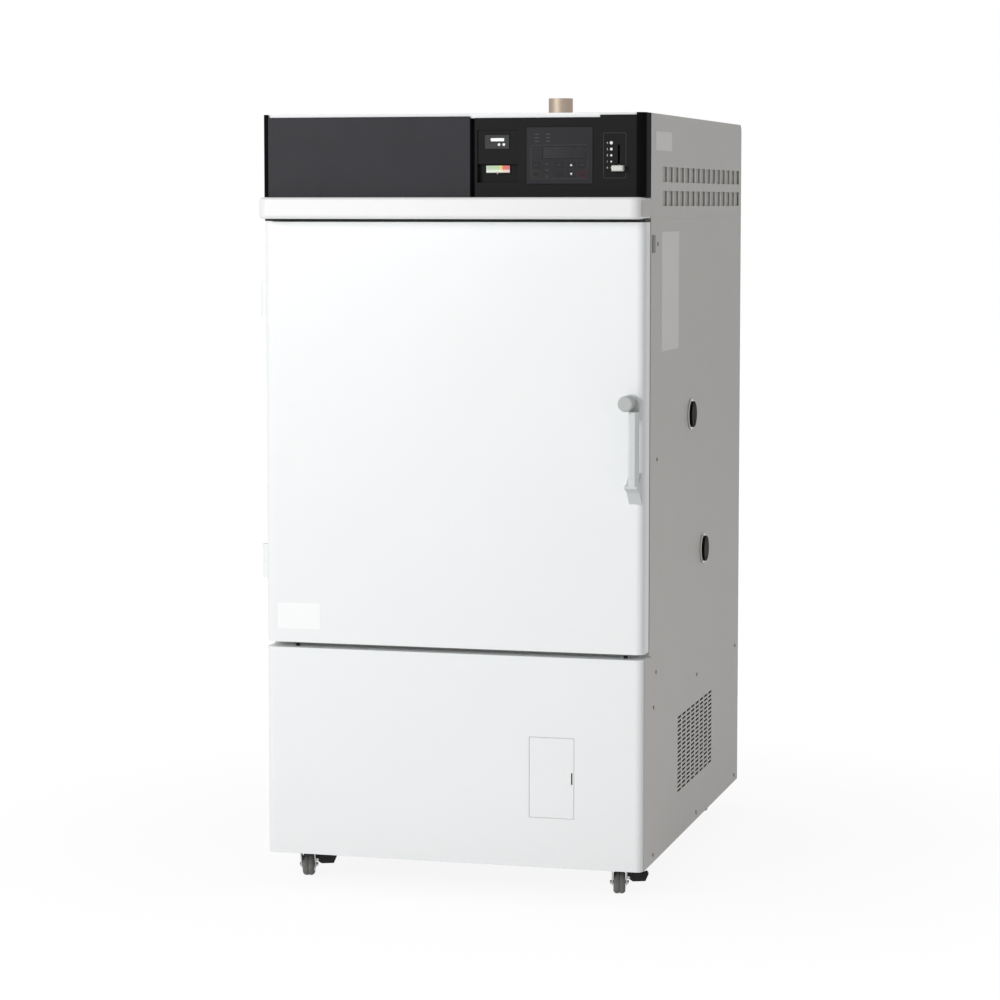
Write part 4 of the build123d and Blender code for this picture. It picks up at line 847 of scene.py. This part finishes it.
def gauge_scale():
    """Green, yellow and red stops along X, mixed with a painted highlight: a pale band that lies below the middle."""
    material, tree, shader = shader_of("gauge_scale")
    split = tree.nodes.new("ShaderNodeSeparateXYZ")
    tree.links.new(tree.nodes.new("ShaderNodeTexCoord").outputs["Object"], split.inputs["Vector"])
    left, right = at(GAUGE_LEFT, 0, 0)[0], at(GAUGE_RIGHT, 0, 0)[0]
    ramp = tree.nodes.new("ShaderNodeValToRGB")
    tree.links.new(between(tree, split.outputs["X"], left, right, 0.0, 1.0), ramp.inputs["Fac"])
    while len(ramp.color_ramp.elements) < len(GAUGE_STOPS):
        ramp.color_ramp.elements.new(0.5)
    for element, (where, colour) in zip(ramp.color_ramp.elements, GAUGE_STOPS):
        element.position = where
        element.color = (*colour, 1)
    pale = between(tree, split.outputs["Z"], HIGHLIGHT_FROM * MM, HIGHLIGHT_TO * MM, 0.0, HIGHLIGHT_SHARE)
    colour = mix_colour(tree, pale, ramp.outputs["Color"], HIGHLIGHT_BAND)
    tree.links.new(colour, shader.inputs["Base Color"])
    place = tree.nodes.new("ShaderNodeTexCoord").outputs["Object"]
    rough = between(tree, noise(tree, place, 400.0), 0.0, 1.0, 0.3, 0.4)
    tree.links.new(rough, shader.inputs["Roughness"])
    shader.inputs["Specular IOR Level"].default_value = 0.3
    return material


gauge_front = face_of("pressure_gauge")
gauge_low, gauge_high = (GAUGE_LEFT + GAUGE_BEZEL, GAUGE_BOTTOM), (GAUGE_RIGHT - GAUGE_BEZEL, GAUGE_TOP)
plate("gauge_window", gauge_low, gauge_high, WINDOW_CORNER, GAUGE_PROUD, gauge_scale(), "gauge", FRONT,
      gauge_front)
POINTER = np.array([[98.6, 1583.4], [102.4, 1583.4], [100.5, 1586.0]])
POINTER_PROUD = 0.6
patch("gauge_pointer", POINTER, POINTER_PROUD, OWN["print_white"], "gauge", FRONT, gauge_front)
print("gauge scale", GAUGE_RIGHT - GAUGE_LEFT, "mm wide")

# %% [markdown]
# The damper lever slides in a slot beside five dots that shrink downwards with the opening. The dots
# are numbered with small plain digits, drawn by Blender's own text object and made a mesh.

# %% Damper scale
panel_face = face_of("control_fascia")
DAMPER_BOX = ((337.0, 1573.7), (387.0, 1670.6))
DAMPER_CORNER, DAMPER_LINE = 3.0, 0.8
outline_band("damper_line", *DAMPER_BOX, DAMPER_CORNER, DAMPER_LINE, LINE_PROUD, OWN["print_grey"],
             "fascia_black", FRONT, panel_face)
DOT_X = 354.5
DOT_COUNT = 5
DOT_LEVELS = np.linspace(1649.0, 1596.0, DOT_COUNT)
DOT_RADII = np.linspace(3.5, 1.3, DOT_COUNT)
DOT_PROUD = 0.15
DIGIT_LEFT_OF_DOT, DIGIT_HEIGHT = 8.6, 4.0
TYPE_SIZE = 1.4
TYPE_HALF_THICKNESS = 0.1


def digit(name, text, x, z, height, material, slot, seat):
    """A flat digit whose curve is made a mesh, turned upright and moved to its place on the front."""
    curve = bpy.data.curves.new(name, "FONT")
    curve.body = text
    curve.size = height * MM * TYPE_SIZE
    curve.extrude = TYPE_HALF_THICKNESS * MM
    curve.align_x = "CENTER"
    curve.align_y = "CENTER"
    source = bpy.data.objects.new(name + "_source", curve)
    mesh = bpy.data.meshes.new_from_object(source)
    bpy.data.objects.remove(source)
    points = np.empty(len(mesh.vertices) * 3)
    mesh.vertices.foreach_get("co", points)
    points = points.reshape(-1, 3)
    offset = np.array(at(x, seat, z))
    upright = np.stack([points[:, 0], -points[:, 2], points[:, 1]], axis=-1) + offset
    mesh.vertices.foreach_set("co", upright.ravel())
    mesh.materials.clear()
    mesh.materials.append(material)
    item = bpy.data.objects.new(name, mesh)
    bpy.context.scene.collection.objects.link(item)
    return finish_piece(item, "cabinet", slot)


for index, (z, radius) in enumerate(zip(DOT_LEVELS, DOT_RADII)):
    patch(f"damper_dot_{index}", ring_of(DOT_X, z, radius), DOT_PROUD, OWN["print_white"], "fascia_black",
          FRONT, panel_face)
    opening = str(DOT_COUNT - 1 - index)
    digit(f"damper_digit_{index}", opening, DOT_X - DIGIT_LEFT_OF_DOT, z, DIGIT_HEIGHT, OWN["print_white"],
          "fascia_black", panel_face)
print("dots", DOT_COUNT)

# %% [markdown]
# Dark gaps give the sheet metal its depth: a black seal closes the gap under the trim, and a near-black
# sheet behind the slots of the side grille is painted shade for the dark inside of the cabinet.

# %% Trim seal and painted shade behind the grille
trim_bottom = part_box("visor_trim")[0][2] / MM
door_top = door_high[2] / MM
BAR_CORNER = 0.8


def flat_bar(name, low, high, material, slot):
    """A flat bar: its rounded section in X and Z is carried along Y from its front to its back."""
    section = rounded_outline((low[0], low[2]), (high[0], high[2]), BAR_CORNER, 4)
    pole = np.tile(section.mean(axis=0), (len(section), 1))
    rows = np.stack([pole, section, section, pole])
    depth = np.array([low[1], low[1], high[1], high[1]])[:, None]
    depth = np.broadcast_to(depth, rows.shape[:-1])
    points = placed(np.stack([rows[..., 0], depth, rows[..., 1]], axis=-1))
    faces = grid_faces(len(rows), len(section), wrap_columns=True)
    item = mesh_object(name, points, faces, material, smooth=False)
    finish_piece(item, "cabinet", slot)


SEAL_FRONT, SEAL_BACK = 6.0, 59.8
SHORT_AT_HINGE, SHORT_AT_SIDE = 2.0, 1.0
OVER_DOOR, UNDER_TRIM = 1.4, 0.1
seal_low = (-side_x + SHORT_AT_HINGE, SEAL_FRONT, door_top + OVER_DOOR)
seal_high = (side_x - SHORT_AT_SIDE, SEAL_BACK, trim_bottom - UNDER_TRIM)
flat_bar("trim_seal", seal_low, seal_high, FINISH["gasket"], "gasket")
# A near-black sheet behind the grille slots is painted shade for the dark inside of the cabinet.
SHADE_SHEET_THICKNESS, SHADE_SHEET_BEHIND = 3.0, 2.2
SHADE_SHEET_Y, SHADE_SHEET_Z = (380.0, 810.0), (172.0, 362.0)
shade_sheet_outer = side_x - SHADE_SHEET_BEHIND
shade_sheet_low, shade_sheet_high = (shade_sheet_outer - SHADE_SHEET_THICKNESS, SHADE_SHEET_Y[0], SHADE_SHEET_Z[0]), (shade_sheet_outer, SHADE_SHEET_Y[1], SHADE_SHEET_Z[1])
flat_bar("grille_mat", shade_sheet_low, shade_sheet_high, OWN["vent_dark"], "black_plastic")
print("seal from", round(door_top, 1), "to", round(trim_bottom, 1))

# %% [markdown]
# Two plates on the right side and a small label on the door are left bare, with the size and place of the
# real ones. They are thin sheets with rounded corners.

# %% Bare plates
PLATE_PROUD = 0.35
TALL_PLATE = ((175.0, 1196.0), (361.0, 1458.0))
SMALL_PLATE = ((107.0, 1635.0), (278.0, 1676.0))
DOOR_LABEL = ((-402.0, 578.0), (-303.0, 636.0))
plate("side_plate_tall", *TALL_PLATE, 4.0, PLATE_PROUD, OWN["bare_plate"], "body_paint", SIDE, side_x)
plate("side_plate_small", *SMALL_PLATE, 3.0, PLATE_PROUD, OWN["bare_plate"], "body_paint", SIDE, side_x)
plate("door_label", *DOOR_LABEL, 2.0, PLATE_PROUD, OWN["sticker"], "front_white", FRONT, 0.0,
      body_of["door_skin"])
print("plates stand", PLATE_PROUD, "mm proud")

# %% [markdown]
# A caster wheel is a turned shape. Its tread has a groove in the middle and rounded shoulders, and a
# pressed steel hub closes each side. The profile is turned round the axle of its own joint.

# %% Caster wheels
HALF_TYRE = np.array([
    (4.2, -12.4), (9.0, -12.4), (17.4, -12.0), (18.4, -12.8), (19.6, -13.3), (21.4, -12.4), (23.2, -10.8),
    (24.4, -9.2), (24.95, -7.6), (25.0, -5.6), (25.0, -1.6), (24.6, -1.1), (23.4, -0.9)])
TYRE_PROFILE = np.vstack([HALF_TYRE, HALF_TYRE[::-1] * np.array([1.0, -1.0])])
HUB_PROFILE = np.array([(9.4, 12.2), (10.2, 12.8), (12.0, 13.2), (14.6, 13.2), (16.4, 12.7), (17.2, 11.9)])
HUB_THICKNESS = 0.8
WHEEL_STEPS = 48
TREAD_SHARP = math.radians(50)
joints = {joint["name"]: joint for joint in frame["record"]["behaviour"]["joints"]}


def turned_round(name, joint, profile, steps, material):
    """A closed profile of radius and distance along the axle, turned round a joint's axis in equal steps."""
    axle = np.array(joints[joint]["axis"], dtype=float)
    axle /= np.linalg.norm(axle)
    up = np.array([0.0, 0.0, 1.0])
    ahead = np.cross(axle, up)
    angle = np.linspace(0, 2 * math.pi, steps, endpoint=False)[None, :, None]
    radius = profile[:, 0][:, None, None] * MM
    along = profile[:, 1][:, None, None] * MM
    spokes = np.cos(angle) * up + np.sin(angle) * ahead
    points = np.array(joints[joint]["pos_m"]) + along * axle + radius * spokes
    return mesh_object(name, points, grid_faces(len(profile), steps, True, True), material)


wheels = [name for name in frame["record"]["behaviour"]["bodies"] if name.startswith("wheel_")]
wheel_corners = [name.removeprefix("wheel_") for name in wheels]
for corner in wheel_corners:
    body = f"wheel_{corner}"
    tyre = turned_round(f"tyre_{corner}", f"{corner}_roll", TYRE_PROFILE, WHEEL_STEPS, FINISH["tyre"])
    tyre.data.set_sharp_from_angle(angle=TREAD_SHARP)
    finish_piece(tyre, body, "tyre", f"caster_wheel_{corner}")
    for side in (-1, 1):
        rim = HUB_PROFILE * np.array([1.0, side])
        rim = np.vstack([rim, rim[::-1] - np.array([0.0, side * HUB_THICKNESS])])
        where = "near" if side < 0 else "far"
        hub = turned_round(f"hub_{corner}_{where}", f"{corner}_roll", rim, WHEEL_STEPS, FINISH["zinc"])
        finish_piece(hub, body, "zinc")
print("wheels:", wheel_corners)

# %% [markdown]
# Before the end, the size of the construction and the size of the dressed model are printed.

# %% Print the sizes
def write_sizes():
    """Gives the construction's box and the dressed model's box."""
    rows = {"cad": [list(map(float, c)) for c in cad_bounds], "visual": [list(map(float, c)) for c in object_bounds()]}
    return rows


print(write_sizes())
